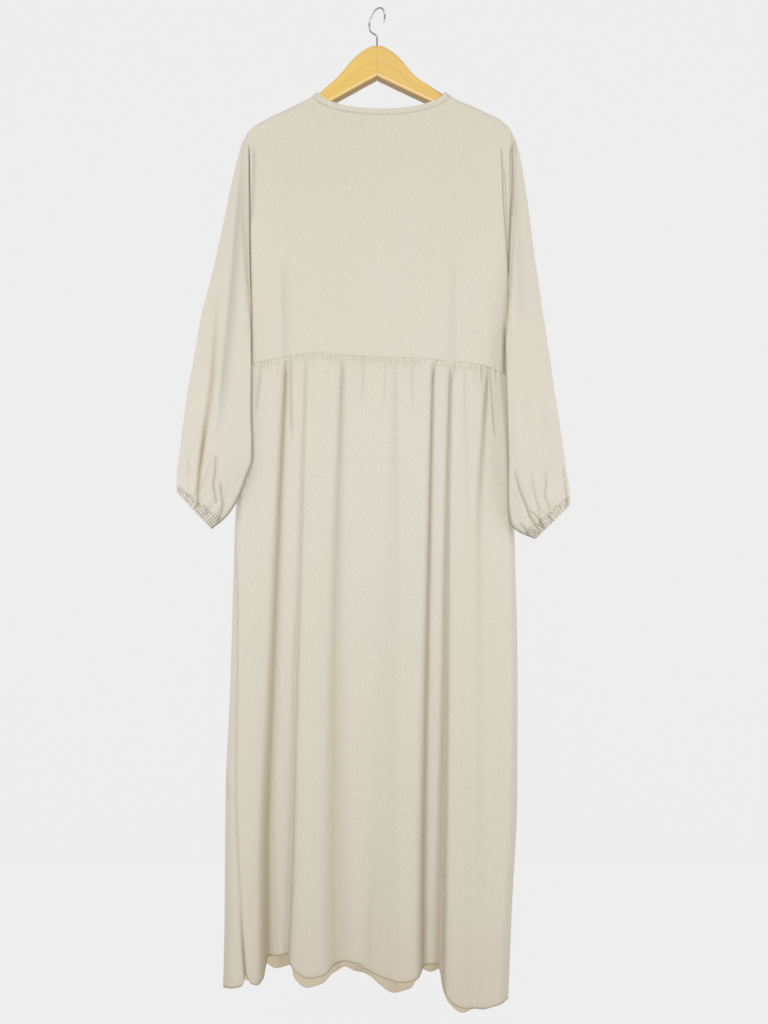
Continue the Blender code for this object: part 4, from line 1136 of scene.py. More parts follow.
def binding_grid():
    rows = []
    for share in np.linspace(0, 1, BINDING_ROWS):
        inset = lerp(-NECK_GAP, -BINDING_WIDTH, share)
        puff = BINDING_PUFF * math.sin(math.pi * share)
        points = []
        for side, drop in ((-1, NECK_DROP_NEAR), (1, NECK_DROP_FAR)):
            turn = np.linspace(0, np.pi, BINDING_STEPS, endpoint=False)
            angle = turn if side < 0 else np.pi - turn
            x = NECK_MIDDLE - (NECK_HALF + inset) * np.cos(angle)
            z = NECK_TOP - inset * BINDING_RISE - (drop + inset * (1 - BINDING_RISE)) * np.sin(angle)
            rounded = quarter((ridge(x) - z) / RIDGE_ROUND)
            y = side * (RIDGE_ROUND + BINDING_LIFT + puff) * rounded * ease(turn / BINDING_CORNER)
            points.append(np.stack([x, y, z + puff * (1 - rounded)], axis=-1))
        rows.append(np.concatenate(points))
    return np.stack(rows)


# The hanger


def corner_looks(level, low):
    """How dark the painted shade is and how bright the painted highlight, on the way round a corner from its
    side.
    """
    if level == "top":
        return EDGE_SHADE_TOP * (1 - abs(2 * low - 1)), 0.0
    rim = float(ease((low - EDGE_SHADE_START) / (EDGE_SHADE_FULL - EDGE_SHADE_START)))
    return rim, max(0.0, 1 - abs(low - HIGHLIGHT_MIDDLE) / HIGHLIGHT_MIDDLE)


def arm_section(x, top, bottom, half, round_top, inset):
    """The wood's outline across an arm, near side first, with each point's painted edge shade and painted
    highlight.
    """
    corners = {}
    for side, round_bottom in ((-1, ARM_ROUND_NEAR), (1, ARM_ROUND_FAR)):
        for level, radius in (("top", round_top), ("bottom", round_bottom)):
            radius = min(radius, (top - bottom) / 2 - FLAT_UPRIGHT, half - FLAT_ACROSS)
            turns = np.linspace(0, np.pi / 2, CORNER_STEPS + 1)
            if (level == "bottom") != (side < 0):
                turns = turns[::-1]
            corner = []
            for turn in turns:
                y = half - inset - radius + radius * math.sin(turn)
                drop = inset + radius - radius * math.cos(turn)
                z = top - drop if level == "top" else bottom + drop
                corner.append((x, side * y, z, *corner_looks(level, 1 - turn / (np.pi / 2))))
            corners[side, level] = corner
    return corners[-1, "bottom"] + corners[-1, "top"] + corners[1, "top"] + corners[1, "bottom"]


def hanger_arm(name, table, outward, look, edge):
    """One half of the hanger, from the joint in the middle to its tip."""
    far_end = table[-1].x
    along_arm = np.linspace(2, far_end - 6, ARM_STATIONS)
    outlines = []
    for x in np.concatenate([ARM_JOINT_STATIONS, along_arm, far_end - np.array(ARM_TIP_STATIONS)]):
        top, bottom, half = (float(read(table, "x", column, x)) for column in ("top", "bottom", "half"))
        covered = float(ease((x - ARM_COVERED) / ARM_COVERED_FADE))
        inset = ARM_JOINT_BEVEL * float(1 - quarter(x - ARM_JOINT_STATIONS[0]))
        outlines.append(arm_section(x, top, bottom, half, lerp(edge / MM, ARM_ROUND_COVERED, covered), inset))
    grid = np.array(outlines)
    grid[:, :, 0] *= outward
    rows, around = grid.shape[:2]
    quads = quads_of(numbered(rows, around, True))
    if outward > 0:
        quads = quads[:, ::-1]
    faces = quads.tolist() + end_faces(rows, around, outward < 0)
    piece = smooth_piece(name, grid[:, :, :3], faces, [look])
    piece.data.set_sharp_from_angle(angle=ARM_SHARP)
    middle = grid[:, :, :3].mean(axis=1)
    along = np.concatenate([[0], np.cumsum(np.linalg.norm(np.diff(middle, axis=0), axis=1))])
    # Painted shade along the edges and a painted highlight on the lower edges, for the wood's material
    keep_values(piece.data, "rim", grid[:, :, 3])
    keep_values(piece.data, "pale", grid[:, :, 4])
    keep_values(piece.data, "along", np.repeat(along, around) * MM)
    keep_values(piece.data, "upright", (grid[:, :, 2] - middle[:, 2:3]) * MM)
    keep_values(piece.data, "through", grid[:, :, 1] * MM)
    return piece


def hook_route():
    """The wire's centre line: a straight stem, a bend to one side, and a round hook ending past its top."""
    joined = (HOOK_RADIUS * math.cos(HOOK_JOIN), HOOK_CENTRE + HOOK_RADIUS * math.sin(HOOK_JOIN))
    before = (joined[0] - HOOK_LEAD * math.sin(HOOK_JOIN), joined[1] + HOOK_LEAD * math.cos(HOOK_JOIN))
    corners = ((0.0, HOOK_BEND), (0.0, HOOK_BEND + HOOK_LEAD), before, joined)
    flat = [(0.0, z) for z in np.linspace(HOOK_BOTTOM, HOOK_BEND, HOOK_STEM_STEPS, endpoint=False)]
    for t in np.linspace(0, 1, HOOK_BEND_STEPS, endpoint=False):
        weights = ((1 - t) ** 3, 3 * t * (1 - t) ** 2, 3 * t * t * (1 - t), t**3)
        flat.append(tuple(sum(w * c[axis] for w, c in zip(weights, corners)) for axis in (0, 1)))
    for turn in np.linspace(HOOK_JOIN, HOOK_END, HOOK_LOOP_STEPS):
        flat.append((HOOK_RADIUS * math.cos(turn), HOOK_CENTRE + HOOK_RADIUS * math.sin(turn)))
    return np.array([(u * math.cos(HOOK_TURN), u * math.sin(HOOK_TURN), z) for u, z in flat])


def wire(name, route, radii, look):
    """A round wire along a route in millimetres, with its ends closed."""
    tangent = np.gradient(route, axis=0)
    tangent /= np.linalg.norm(tangent, axis=1)[:, None]
    across = np.array([math.sin(HOOK_TURN), -math.cos(HOOK_TURN), 0.0])
    other = np.cross(tangent, across)
    turns = np.linspace(0, 2 * np.pi, HOOK_SIDES, endpoint=False)
    ring = np.cos(turns)[None, :, None] * across + np.sin(turns)[None, :, None] * other[:, None, :]
    quads = quads_of(numbered(len(route), HOOK_SIDES, True))[:, [0, 3, 2, 1]]
    faces = quads.tolist() + end_faces(len(route), HOOK_SIDES, True)
    return smooth_piece(name, route[:, None, :] + radii[:, None, None] * ring, faces, [look])


# Node helpers


def fill_in(tree, node, values):
    """Joins sockets to a node's inputs by name or place, or sets them to numbers, vectors or colours."""
    for label, value in values.items():
        socket = node.inputs[label]
        if isinstance(value, bpy.types.NodeSocket):
            tree.links.new(value, socket)
        elif isinstance(value, tuple) and len(value) < len(socket.default_value):
            socket.default_value = (*value, 1.0)
        else:
            socket.default_value = value


def add_node(tree, kind, values=None, **settings):
    made = tree.nodes.new(kind)
    for key, value in settings.items():
        setattr(made, key, value)
    fill_in(tree, made, values or {})
    return made


def group_of(name, inputs, outputs):
    """An empty shader group with named sockets, and its two end nodes."""
    tree = bpy.data.node_groups.new(name, "ShaderNodeTree")
    for label, kind, default in inputs:
        socket = tree.interface.new_socket(name=label, in_out="INPUT", socket_type=kind)
        if default is not None:
            socket.default_value = default
    for label in outputs:
        tree.interface.new_socket(name=label, in_out="OUTPUT", socket_type="NodeSocketFloat")
    return tree, add_node(tree, "NodeGroupInput").outputs, add_node(tree, "NodeGroupOutput")


def maths(tree, operation, *values):
    return add_node(tree, "ShaderNodeMath", dict(enumerate(values)), operation=operation).outputs[0]


def scaled(tree, vector, scale):
    return add_node(tree, "ShaderNodeVectorMath", {0: vector, 1: scale}, operation="MULTIPLY").outputs[0]


def per_size(tree, vector, size):
    """A place counted in steps of a size."""
    steps = {0: vector, "Scale": maths(tree, "DIVIDE", 1.0, size)}
    return add_node(tree, "ShaderNodeVectorMath", steps, operation="SCALE").outputs[0]


def noise(tree, vector, scale, detail, roughness=0.5):
    values = {"Vector": scaled(tree, vector, scale), "Scale": 1.0, "Detail": detail, "Roughness": roughness}
    return add_node(tree, "ShaderNodeTexNoise", values).outputs["Fac"]


def widened(tree, value, low, high):
    """A value between two limits, spread out from 0 to 1."""
    values = {"Value": value, "From Min": low, "From Max": high}
    return add_node(tree, "ShaderNodeMapRange", values).outputs["Result"]


def mixed(tree, share, first, second):
    """A colour between two, each a socket or a plain colour."""
    return add_node(tree, "ShaderNodeMix", {0: share, 6: first, 7: second}, data_type="RGBA").outputs[2]


def kept(tree, label, strength):
    """A value kept at the mesh's points, weakened to a strength."""
    stored = add_node(tree, "ShaderNodeAttribute", attribute_name=label).outputs["Fac"]
    return maths(tree, "MULTIPLY", stored, strength)


def crepe_grain():
    """The pebbled surface of crepe: short uneven threads that run mostly down the cloth."""
    tree, start, end = group_of(
        "crepe_grain",
        [("Vector", "NodeSocketVector", None), ("Pebble", "NodeSocketFloat", 0.0011)],
        ["Height", "Fleck"],
    )
    place = per_size(tree, start["Vector"], start["Pebble"])
    down_threads = noise(tree, place, (1.0, 0.62, 1.0), 2.0, 0.6)
    cross_threads = noise(tree, place, (0.3, 1.1, 1.0), 1.0)
    pebbles = noise(tree, place, (0.7, 0.55, 1.0), 2.0)
    streaks = noise(tree, place, (0.4, 0.14, 1.0), 2.0)
    woven = maths(tree, "MULTIPLY_ADD", cross_threads, 0.35, maths(tree, "MULTIPLY", down_threads, 0.65))
    flecks = maths(tree, "MULTIPLY_ADD", streaks, 0.22, maths(tree, "MULTIPLY", down_threads, 0.78))
    height = maths(tree, "MULTIPLY_ADD", pebbles, 0.4, woven)
    fill_in(tree, end, {"Height": height, "Fleck": widened(tree, flecks, 0.32, 0.68)})
    return tree


def soft_mottle():
    """Broad uneven patches, as where cloth was pressed or varnish lies thicker."""
    tree, start, end = group_of(
        "soft_mottle",
        [("Vector", "NodeSocketVector", None), ("Size", "NodeSocketFloat", 0.1)],
        ["Mask"],
    )
    patches = noise(tree, per_size(tree, start["Vector"], start["Size"]), (1.0, 1.0, 0.45), 3.0)
    fill_in(tree, end, {"Mask": widened(tree, patches, 0.3, 0.7)})
    return tree


def lengthwise_grain():
    """Wood grain that runs along an arm: fine streaks in broader bands."""
    tree, start, end = group_of(
        "lengthwise_grain", [("Vector", "NodeSocketVector", None)], ["Streak", "Band"]
    )
    waver = noise(tree, start["Vector"], (9.0, 30.0, 30.0), 2.0)
    shift = add_node(tree, "ShaderNodeCombineXYZ", {"Y": maths(tree, "MULTIPLY", waver, 0.006)})
    values = {0: shift.outputs[0], 1: start["Vector"]}
    bent = add_node(tree, "ShaderNodeVectorMath", values, operation="ADD").outputs[0]
    streaks = noise(tree, bent, (14.0, 900.0, 500.0), 3.0, 0.6)
    bands = noise(tree, bent, (7.0, 150.0, 90.0), 2.0)
    fill_in(tree, end, {
        "Streak": widened(tree, streaks, 0.42, 0.66),
        "Band": widened(tree, bands, 0.35, 0.65),
    })
    return tree


def placed_group(tree, make, **values):
    """A node of a shader group, which is built the first time it is asked for."""
    group = bpy.data.node_groups.get(make.__name__) or make()
    return add_node(tree, "ShaderNodeGroup", values, node_tree=group).outputs


def tinted(colour, tint):
    return tuple(float(value) for value in np.multiply(colour, tint))


def new_material(name):
    made = bpy.data.materials.new(name)
    made.use_nodes = True
    tree = made.node_tree
    return made, tree, tree.nodes["Principled BSDF"]


def bump(tree, height, distance, strength):
    values = {"Height": height, "Distance": distance, "Strength": strength}
    return add_node(tree, "ShaderNodeBump", values).outputs["Normal"]


def crepe(name, colour, fold_shade_colour, shade_colour, pebble, folds):
    """Matt crepe with its pebbled grain, and painted shade that darkens it where it turns away and warms it
    deep in its folds.
    """
    made = bpy.data.materials.get(name)
    if made:
        return made
    made, tree, shader = new_material(name)
    cut = add_node(tree, "ShaderNodeUVMap", uv_map="cut").outputs["UV"]
    place = add_node(tree, "ShaderNodeTexCoord").outputs["Object"]
    level = add_node(tree, "ShaderNodeSeparateXYZ", {0: place}).outputs["Z"]
    grain = placed_group(tree, crepe_grain, Vector=cut, Pebble=pebble)
    mottle = placed_group(tree, soft_mottle, Vector=place, Size=0.16)
    # Painted shade: the cloth is a little warmer and darker away from its middle, and more so at the hem; the
    # mottle adds warm patches at random
    away = maths(tree, "ABSOLUTE", maths(tree, "SUBTRACT", level, CREPE_MIDDLE))
    ends = maths(tree, "MULTIPLY", maths(tree, "SUBTRACT", away, CREPE_MIDDLE_HALF), 0.95)
    patches_and_shade = maths(tree, "MULTIPLY_ADD", mottle["Mask"], 0.5, maths(tree, "MAXIMUM", ends, 0.0))
    base = mixed(tree, patches_and_shade, colour, tinted(colour, WARM_PATCHES_AND_SHADE))
    hem_shade = maths(tree, "MULTIPLY", maths(tree, "SUBTRACT", HEM_SHADE_FROM, level), 8.0)
    base = mixed(tree, hem_shade, base, tinted(colour, HEM_SHADE_TINT))
    flecked = mixed(tree, grain["Fleck"], base, tinted(colour, 0.8))
    # Painted shade from the values kept at the points: warm deep in the folds, cool where the cloth turns
    # away
    warmer = mixed(tree, kept(tree, "glow", folds), flecked, fold_shade_colour)
    fill_in(tree, shader, {
        "Base Color": mixed(tree, kept(tree, "shade", folds), warmer, shade_colour),
        "Roughness": 0.88,
        "Specular IOR Level": 0.25,
        "Sheen Weight": 0.12,
        "Sheen Roughness": 0.45,
        "Normal": bump(tree, grain["Height"], 0.0006, 0.3),
    })
    return made


def crepe_looks():
    """The crepe's right side and its wrong side, where the painted fold shade shows more weakly and the
    lightened colour is painted light.
    """
    cloth = bpy.context.scene.abaya_cloth
    tones = tuple(cloth.fold), tuple(cloth.shade)
    outside = crepe("pebbled_crepe", tuple(cloth.colour), *tones, cloth.pebble, 1.0)
    inside = crepe("crepe_wrong_side", tuple(cloth.inside), *tones, cloth.pebble, 0.25)
    return [outside, inside]


def varnished_wood(name, colour, grain_colour, edge_shade_colour):
    """Pale wood under clear varnish, with painted shade along its top edge and underside and a painted
    highlight on its lower edges.
    """
    made, tree, shader = new_material(name)
    values = {
        target: add_node(tree, "ShaderNodeAttribute", attribute_name=label).outputs["Fac"]
        for label, target in (("along", "X"), ("upright", "Y"), ("through", "Z"))
    }
    place = add_node(tree, "ShaderNodeCombineXYZ", values).outputs[0]
    grain = placed_group(tree, lengthwise_grain, Vector=place)
    mottle = placed_group(tree, soft_mottle, Vector=place, Size=0.009)
    banded = mixed(tree, maths(tree, "MULTIPLY", grain["Band"], 0.16), colour, grain_colour)
    streaked = mixed(tree, maths(tree, "MULTIPLY", grain["Streak"], 0.6), banded, grain_colour)
    patched = mixed(tree, maths(tree, "MULTIPLY", mottle["Mask"], 0.3), streaked, tinted(colour, 0.86))
    # Painted shade along the top edge and underside, then a painted highlight on the lower edges
    edge_shaded = mixed(tree, kept(tree, "rim", 0.85), patched, edge_shade_colour)
    fill_in(tree, shader, {
        "Base Color": mixed(tree, kept(tree, "pale", 0.62), edge_shaded, PAINTED_HIGHLIGHT),
        "Roughness": 0.42,
        "Coat Weight": 0.35,
        "Coat Roughness": 0.18,
        "Normal": bump(tree, grain["Streak"], 0.0002, 0.25),
    })
    return made


def bright_wire(colour):
    """Drawn wire with a bright finish, dulled in places by handling."""
    made, tree, shader = new_material("polished_wire")
    place = add_node(tree, "ShaderNodeTexCoord").outputs["Object"]
    dulled = placed_group(tree, soft_mottle, Vector=place, Size=0.012)["Mask"]
    scratches = noise(tree, place, (1500.0, 1500.0, 90.0), 2.0)
    fill_in(tree, shader, {
        "Base Color": mixed(tree, dulled, colour, tinted(colour, 0.82)),
        "Roughness": maths(tree, "MULTIPLY_ADD", dulled, 0.12, 0.2),
        "Metallic": 1.0,
        "Normal": bump(tree, scratches, 0.0001, 0.2),
    })
    return made


def sewing_thread(colour):
    """Spun thread with a slight twist."""
    made = bpy.data.materials.get("spun_thread")
    if made:
        return made
    made, tree, shader = new_material("spun_thread")
    place = add_node(tree, "ShaderNodeTexCoord").outputs["Object"]
    twist = noise(tree, place, (2600.0, 2600.0, 2600.0), 2.0)
    fill_in(tree, shader, {
        "Base Color": mixed(tree, twist, tinted(colour, 1.12), tinted(colour, 0.8)),
        "Roughness": 0.7,
        "Sheen Weight": 0.2,
        "Normal": bump(tree, twist, 0.0002, 0.4),
    })
    return made


def backdrop_paper(colour):
    """Paper that is lit evenly. The back of the wall lets the view and the light through."""
    made, tree, shader = new_material("backdrop_paper")
    fill_in(tree, shader, {
        "Base Color": (0.02, 0.02, 0.02),
        "Roughness": 1.0,
        "Specular IOR Level": 0.0,
        "Emission Color": colour,
        "Emission Strength": 1.0,
    })
    behind = add_node(tree, "ShaderNodeNewGeometry").outputs["Backfacing"]
    clear = add_node(tree, "ShaderNodeBsdfTransparent").outputs["BSDF"]
    both = add_node(tree, "ShaderNodeMixShader", {0: behind, 1: shader.outputs["BSDF"], 2: clear})
    fill_in(tree, tree.nodes["Material Output"], {"Surface": both.outputs["Shader"]})
    return made


# Stitches


def outward_row(grid, row, lift, closed=False):
    """A row of a grid, lifted off the cloth's outer side."""
    down = np.gradient(grid, axis=0)[row]
    across = np.gradient(grid, axis=1)[row]
    normal = np.cross(down, across)
    normal /= np.maximum(np.linalg.norm(normal, axis=1), 1e-9)[:, None]
    line = grid[row] + lift * normal
    if closed:
        line = np.concatenate([line, line[:1]])
    return line


def stitch_tree():
    """Geometry nodes that lay stitches end to end along every line of a mesh."""
    tree = bpy.data.node_groups.new("stitch_row", "GeometryNodeTree")
    sockets = (
        ("Lines", "INPUT", "NodeSocketGeometry"),
        ("Pitch", "INPUT", "NodeSocketFloat"),
        ("Length", "INPUT", "NodeSocketFloat"),
        ("Thickness", "INPUT", "NodeSocketFloat"),
        ("Seed", "INPUT", "NodeSocketInt"),
        ("Thread", "INPUT", "NodeSocketMaterial"),
        ("Stitches", "OUTPUT", "NodeSocketGeometry"),
    )
    for label, way, kind in sockets:
        tree.interface.new_socket(name=label, in_out=way, socket_type=kind)

    def node(kind, values=None, **settings):
        return add_node(tree, kind, values, **settings).outputs

    start = node("NodeGroupInput")
    lines = node("GeometryNodeMeshToCurve", {"Mesh": start["Lines"]})["Curve"]
    spaced = node("GeometryNodeResampleCurve", {"Curve": lines, "Length": start["Pitch"]}, mode="LENGTH")
    bead = node("GeometryNodeMeshUVSphere", {"Segments": 6, "Rings": 4, "Radius": 0.5})["Mesh"]
    thickness = start["Thickness"]
    size = node("ShaderNodeCombineXYZ", {"X": thickness, "Y": thickness, "Z": start["Length"]})["Vector"]
    shaped = node("GeometryNodeTransform", {"Geometry": bead, "Scale": size})["Geometry"]
    tangent = node("GeometryNodeInputTangent")["Tangent"]
    turned = node("FunctionNodeAlignRotationToVector", {"Vector": tangent}, axis="Z")["Rotation"]
    varied = node("FunctionNodeRandomValue", {2: 0.82, 3: 1.12, "Seed": start["Seed"]}, data_type="FLOAT")[1]
    values = {"Points": spaced["Curve"], "Instance": shaped, "Rotation": turned, "Scale": varied}
    placed = node("GeometryNodeInstanceOnPoints", values)["Instances"]
    real = node("GeometryNodeRealizeInstances", {"Geometry": placed})["Geometry"]
    finish = node("GeometryNodeSetMaterial", {"Geometry": real, "Material": start["Thread"]})["Geometry"]
    add_node(tree, "NodeGroupOutput", {"Stitches": finish})
    return tree


def stitches(name, lines, seed, thickness=1.0):
    """Stitches along lines in millimetres, as one plain mesh."""
    cloth = bpy.context.scene.abaya_cloth
    points = []
    edges = []
    for line in lines:
        first = len(points)
        points.extend((np.asarray(line) * MM).tolist())
        edges.extend((first + k, first + k + 1) for k in range(len(line) - 1))
    mesh = bpy.data.meshes.new(name + "_lines")
    mesh.from_pydata(points, edges, [])
    guide = new_piece(name + "_lines", mesh)
    tree = bpy.data.node_groups.get("stitch_row") or stitch_tree()
    sewn = guide.modifiers.new("stitches", "NODES")
    sewn.node_group = tree
    values = {
        "Pitch": cloth.stitch_pitch,
        "Length": cloth.stitch,
        "Thickness": cloth.thread_width * thickness,
        "Seed": seed,
        "Thread": sewing_thread(tuple(cloth.thread)),
    }
    for item in tree.interface.items_tree:
        if item.item_type == "SOCKET" and item.in_out == "INPUT" and item.name in values:
            sewn[item.identifier] = values[item.name]
    guide.update_tag()
    bpy.context.view_layer.update()
    plain = bpy.data.meshes.new_from_object(guide.evaluated_get(bpy.context.evaluated_depsgraph_get()))
    plain.name = name
    bpy.data.objects.remove(guide, do_unlink=True)
    plain.shade_smooth()
    if not len(plain.polygons):
        raise RuntimeError(name + " has no stitches")
    return new_piece(name, plain)


# Operators, one for each group of pieces


def settle(piece, slot, *nodes):
    """Hangs a finished piece on the garment and hides the solids that it stands for."""
    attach(piece, "root")
    if nodes:
        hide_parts(*nodes)


class ABAYA_OT_bodice(bpy.types.Operator):
    """Make the two upper panels, from the shoulders to the waist seam."""

    bl_idname = "abaya.bodice"
    bl_label = "Upper panels"

    def execute(self, context):
        for name, side, drop in (("bodice_back", -1, NECK_DROP_NEAR), ("bodice_front", 1, NECK_DROP_FAR)):
            # The far panel's columns are turned round to keep its right side out
            grid, tone = (values[:, ::-side] for values in bodice_grid(side, drop))
            piece = cloth_piece(name + "_cloth", grid, tone, context.scene.abaya_cloth.wall)
            settle(piece, "crepe", name)
        return {"FINISHED"}


class ABAYA_OT_skirt(bpy.types.Operator):
    """Make the two gathered skirt panels and sew their hems."""

    bl_idname = "abaya.skirt"
    bl_label = "Skirt panels"

    def execute(self, context):
        hems = []
        for name, side, columns in (("skirt_back", -1, SKIRT_COLUMNS), ("skirt_front", 1, SKIRT_FAR_COLUMNS)):
            grid, tone = skirt_grid(side, columns)
            piece = cloth_piece(name + "_cloth", grid, tone, context.scene.abaya_cloth.wall)
            settle(piece, "crepe", name)
            hems.append(outward_row(grid, HEM_STITCH_ROW, STITCH_LIFT)[4:-4])
        settle(stitches("hem_stitches", hems, 5), "crepe")
        return {"FINISHED"}


class ABAYA_OT_sleeves(bpy.types.Operator):
    """Make both sleeves with their gathered wrists, and sew their casings."""

    bl_idname = "abaya.sleeves"
    bl_label = "Sleeves"

    def execute(self, context):
        rows = []
        made = (
            ("left", SLEEVE_LEFT, -1, UNDERARM_LEFT, (LINES_LEFT_NEAR, LINES_LEFT_FAR)),
            ("right", SLEEVE_RIGHT, 1, UNDERARM_RIGHT, (LINES_RIGHT_NEAR, LINES_RIGHT_FAR)),
        )
        for column, rings, outward, underarm, lines in made:
            name = "sleeve_" + column
            # The right sleeve's columns are turned round to keep its right side out
            grid, tone = (v[:, ::-outward] for v in sleeve_grid(rings, outward, column, underarm, lines))
            piece = cloth_piece(name + "_cloth", grid, tone, context.scene.abaya_cloth.wall, closed=True)
            settle(piece, "crepe", name)
            from_end = distances(grid[::-1], 0).mean(axis=1)
            casing = len(grid) - 1 - int(np.argmin(np.abs(from_end - CASING_WIDTH)))
            rows.append(outward_row(grid, casing, STITCH_LIFT, closed=True))
        settle(stitches("casing_stitches", rows, 7, 0.6), "crepe")
        return {"FINISHED"}


class ABAYA_OT_binding(bpy.types.Operator):
    """Make the narrow strip round the neck and sew it on."""

    bl_idname = "abaya.binding"
    bl_label = "Neck binding"

    def execute(self, context):
        # Rows run upwards here, so the columns are turned round to keep the right side out
        grid = binding_grid()[:, ::-1]
        tone = np.zeros((*grid.shape[:2], 2))
        tone[0, :, 0] = BINDING_TONE
        piece = cloth_piece("neck_binding_cloth", grid, tone, BINDING_WALL * MM, closed=True)
        settle(piece, "crepe", "neck_binding")
        row = outward_row(grid, 1, BINDING_STITCH_LIFT, closed=True)
        settle(stitches("binding_stitches", [row], 11, 0.55), "crepe")
        return {"FINISHED"}


class ABAYA_OT_seams(bpy.types.Operator):
    """Sew the waist seam on both sides."""

    bl_idname = "abaya.seams"
    bl_label = "Waist seam"

    def execute(self, context):
        lines = []
        x = np.linspace(-205, 208, 300)
        z = waist_line(x)
        for side in (-1.0, 1.0):
            out, _ = skirt_out(np.full_like(x, side), x, z - 0.4)
            lines.append(np.stack([x, side * (out + STITCH_LIFT), z], axis=-1))
        settle(stitches("waist_stitches", lines, 3), "crepe")
        return {"FINISHED"}


class ABAYA_OT_hanger(bpy.types.Operator):
    """Make the two wooden halves of the hanger."""

    bl_idname = "abaya.hanger"
    bl_label = "Wooden arms"

    def execute(self, context):
        sizes = context.scene.abaya_hanger
        arms = (("left", ARM_LEFT, -1, LEFT_WOOD), ("right", ARM_RIGHT, 1, RIGHT_WOOD))
        for half, table, outward, tint in arms:
            colours = [tinted(colour, tint) for colour in (sizes.wood, sizes.grain, sizes.rim)]
            look = varnished_wood("varnished_wood_" + half, *colours)
            piece = hanger_arm("hanger_" + half + "_wood", table, outward, look, sizes.edge)
            settle(piece, "varnished_wood", "hanger_" + half)
        return {"FINISHED"}


class ABAYA_OT_hook(bpy.types.Operator):
    """Make the hanger's wire hook."""

    bl_idname = "abaya.hook"
    bl_label = "Wire hook"

    def execute(self, context):
        sizes = context.scene.abaya_hanger
        route = hook_route()
        radii = np.full(len(route), sizes.wire / MM / 2)
        radii[-len(HOOK_TIP):] *= HOOK_TIP
        piece = wire("hanger_hook_wire", route, radii, bright_wire(tuple(sizes.metal)))
        settle(piece, "bright_wire", "hanger_hook")
        return {"FINISHED"}


def even_light(strength, seen):
    """A world that gives a warm, even fill, and looks like the backdrop where it is seen."""
    world = bpy.data.worlds.new("even_light")
    world.use_nodes = True
    tree = world.node_tree
    fill = tree.nodes["Background"]
    fill_in(tree, fill, {"Color": WARM_LIGHT, "Strength": strength})
    view = add_node(tree, "ShaderNodeBackground", {"Color": seen})
    is_seen = add_node(tree, "ShaderNodeLightPath").outputs["Is Camera Ray"]
    shaders = {0: is_seen, 1: fill.outputs["Background"], 2: view.outputs["Background"]}
    both = add_node(tree, "ShaderNodeMixShader", shaders)
    fill_in(tree, tree.nodes["World Output"], {"Surface": both.outputs["Shader"]})
    return world


def add_lamp(name, kind, energy, turns):
    """A lamp turned by degrees about the three axes."""
    lamp = bpy.data.lights.new(name, kind)
    lamp.energy = energy
    made = new_piece(name, lamp)
    made.rotation_euler = [math.radians(turn) for turn in turns]
    return made


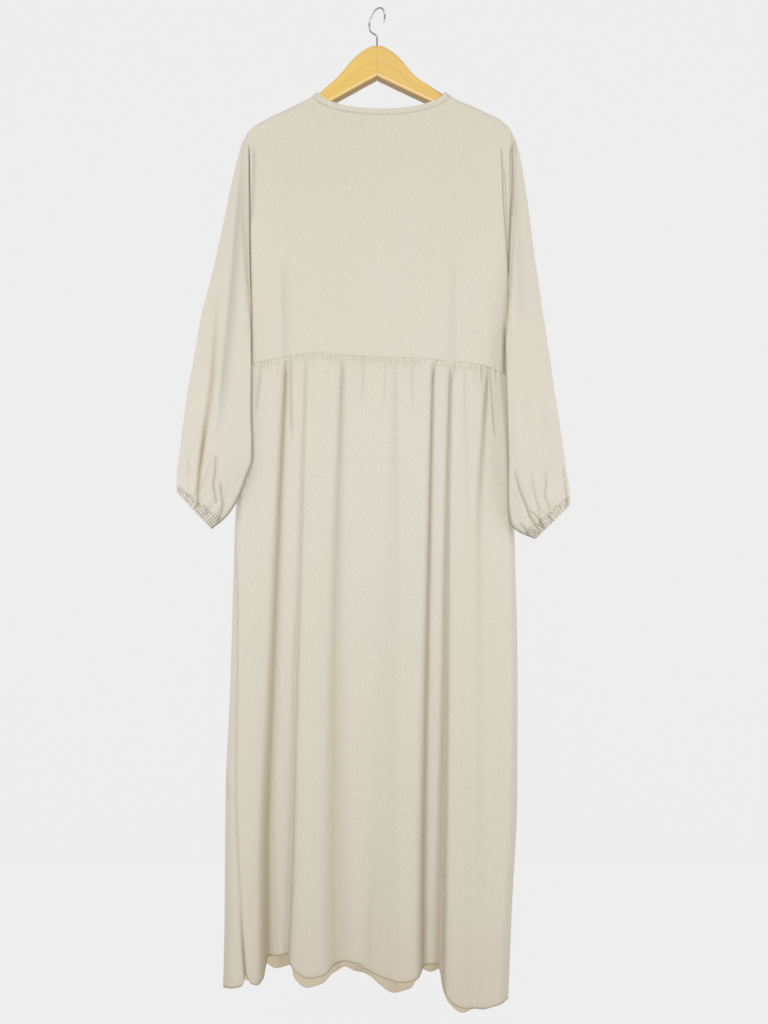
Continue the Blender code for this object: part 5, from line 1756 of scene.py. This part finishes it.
class ABAYA_OT_stage(bpy.types.Operator):
    """Set up the wall, the floor, the light and the camera."""

    bl_idname = "abaya.stage"
    bl_label = "Stage"

    def execute(self, context):
        stage = context.scene.abaya_stage
        paper = backdrop_paper(tuple(stage.backdrop))
        wall = stage.wall
        front = wall - 4
        floor = -stage.floor
        planes = {
            "backdrop_wall": [(-3, wall, floor), (3, wall, floor), (3, wall, 1.2), (-3, wall, 1.2)],
            "backdrop_floor": [(-3, front, floor), (3, front, floor), (3, wall, floor), (-3, wall, floor)],
        }
        for name, corners in planes.items():
            mesh = bpy.data.meshes.new(name)
            mesh.from_pydata(corners, [], [(0, 1, 2, 3)])
            mesh.materials.append(paper)
            plane = new_piece(name, mesh)
            plane.visible_diffuse = name != "backdrop_floor"
        context.scene.world = even_light(stage.sky, tuple(stage.backdrop))
        boxes = (
            ("softbox", (0.03, -2.0, -0.58), 0, stage.front),
            ("side_lamp_left", (-1.75, -1.0, -0.58), -60, stage.sides),
            ("side_lamp_right", (1.75, -1.0, -0.58), 60, stage.sides),
        )
        for name, place, turn, power in boxes:
            made = add_lamp(name, "AREA", power, (90, 0, turn))
            made.location = place
            made.visible_camera = False
            made.data.size = 1.1
            made.data.color = COOL_LIGHT
            made.data.use_shadow = False
        add_lamp("top_lamp", "SUN", stage.top, (38, 0, -10)).data.angle = math.radians(30)
        view = bpy.data.cameras.new("view")
        view.sensor_fit = "VERTICAL"
        view.sensor_height = SENSOR_HEIGHT
        view.lens = SENSOR_HEIGHT * CAMERA_DISTANCE / (PIXEL * IMAGE_HEIGHT)
        camera = new_piece("view", view)
        camera.location = (CAMERA_X, -CAMERA_DISTANCE * MM, CAMERA_Z)
        camera.rotation_euler = (math.radians(90), 0, 0)
        context.scene.camera = camera
        context.scene.view_settings.view_transform = "Standard"
        context.scene.view_settings.look = "None"
        return {"FINISHED"}


class ABAYA_PT_panel(bpy.types.Panel):
    """The pieces and sizes of the garment, in the 3D view's sidebar."""

    bl_idname = "ABAYA_PT_panel"
    bl_label = "Abaya on a hanger"
    bl_space_type = "VIEW_3D"
    bl_region_type = "UI"
    bl_category = "Abaya"

    def draw(self, context):
        groups = (
            ("Cloth", context.scene.abaya_cloth, OPERATORS[:5]),
            ("Hanger", context.scene.abaya_hanger, OPERATORS[5:7]),
            ("Stage", context.scene.abaya_stage, OPERATORS[7:]),
        )
        for title, sizes, operators in groups:
            box = self.layout.box()
            box.label(text=title)
            for name in sizes.bl_rna.properties.keys():
                if name not in ("rna_type", "name"):
                    box.prop(sizes, name)
            for operator in operators:
                box.operator(operator.bl_idname)


OPERATORS = (
    ABAYA_OT_bodice,
    ABAYA_OT_skirt,
    ABAYA_OT_sleeves,
    ABAYA_OT_binding,
    ABAYA_OT_seams,
    ABAYA_OT_hanger,
    ABAYA_OT_hook,
    ABAYA_OT_stage,
)
GROUPS = (("abaya_cloth", AbayaCloth), ("abaya_hanger", AbayaHanger), ("abaya_stage", AbayaStage))


def register():
    for name, group in GROUPS:
        bpy.utils.register_class(group)
        setattr(bpy.types.Scene, name, bpy.props.PointerProperty(type=group))
    for made in (*OPERATORS, ABAYA_PT_panel):
        bpy.utils.register_class(made)


def unregister():
    for made in (ABAYA_PT_panel, *reversed(OPERATORS)):
        bpy.utils.unregister_class(made)
    for name, group in reversed(GROUPS):
        delattr(bpy.types.Scene, name)
        bpy.utils.unregister_class(group)


def plain(box):
    return [[float(value) for value in corner] for corner in box]


def main():
    register()
    bpy.ops.abaya.bodice()
    bpy.ops.abaya.skirt()
    bpy.ops.abaya.sleeves()
    bpy.ops.abaya.binding()
    bpy.ops.abaya.seams()
    bpy.ops.abaya.hanger()
    bpy.ops.abaya.hook()
    bpy.ops.abaya.stage()


if __name__ == "__main__":
    main()
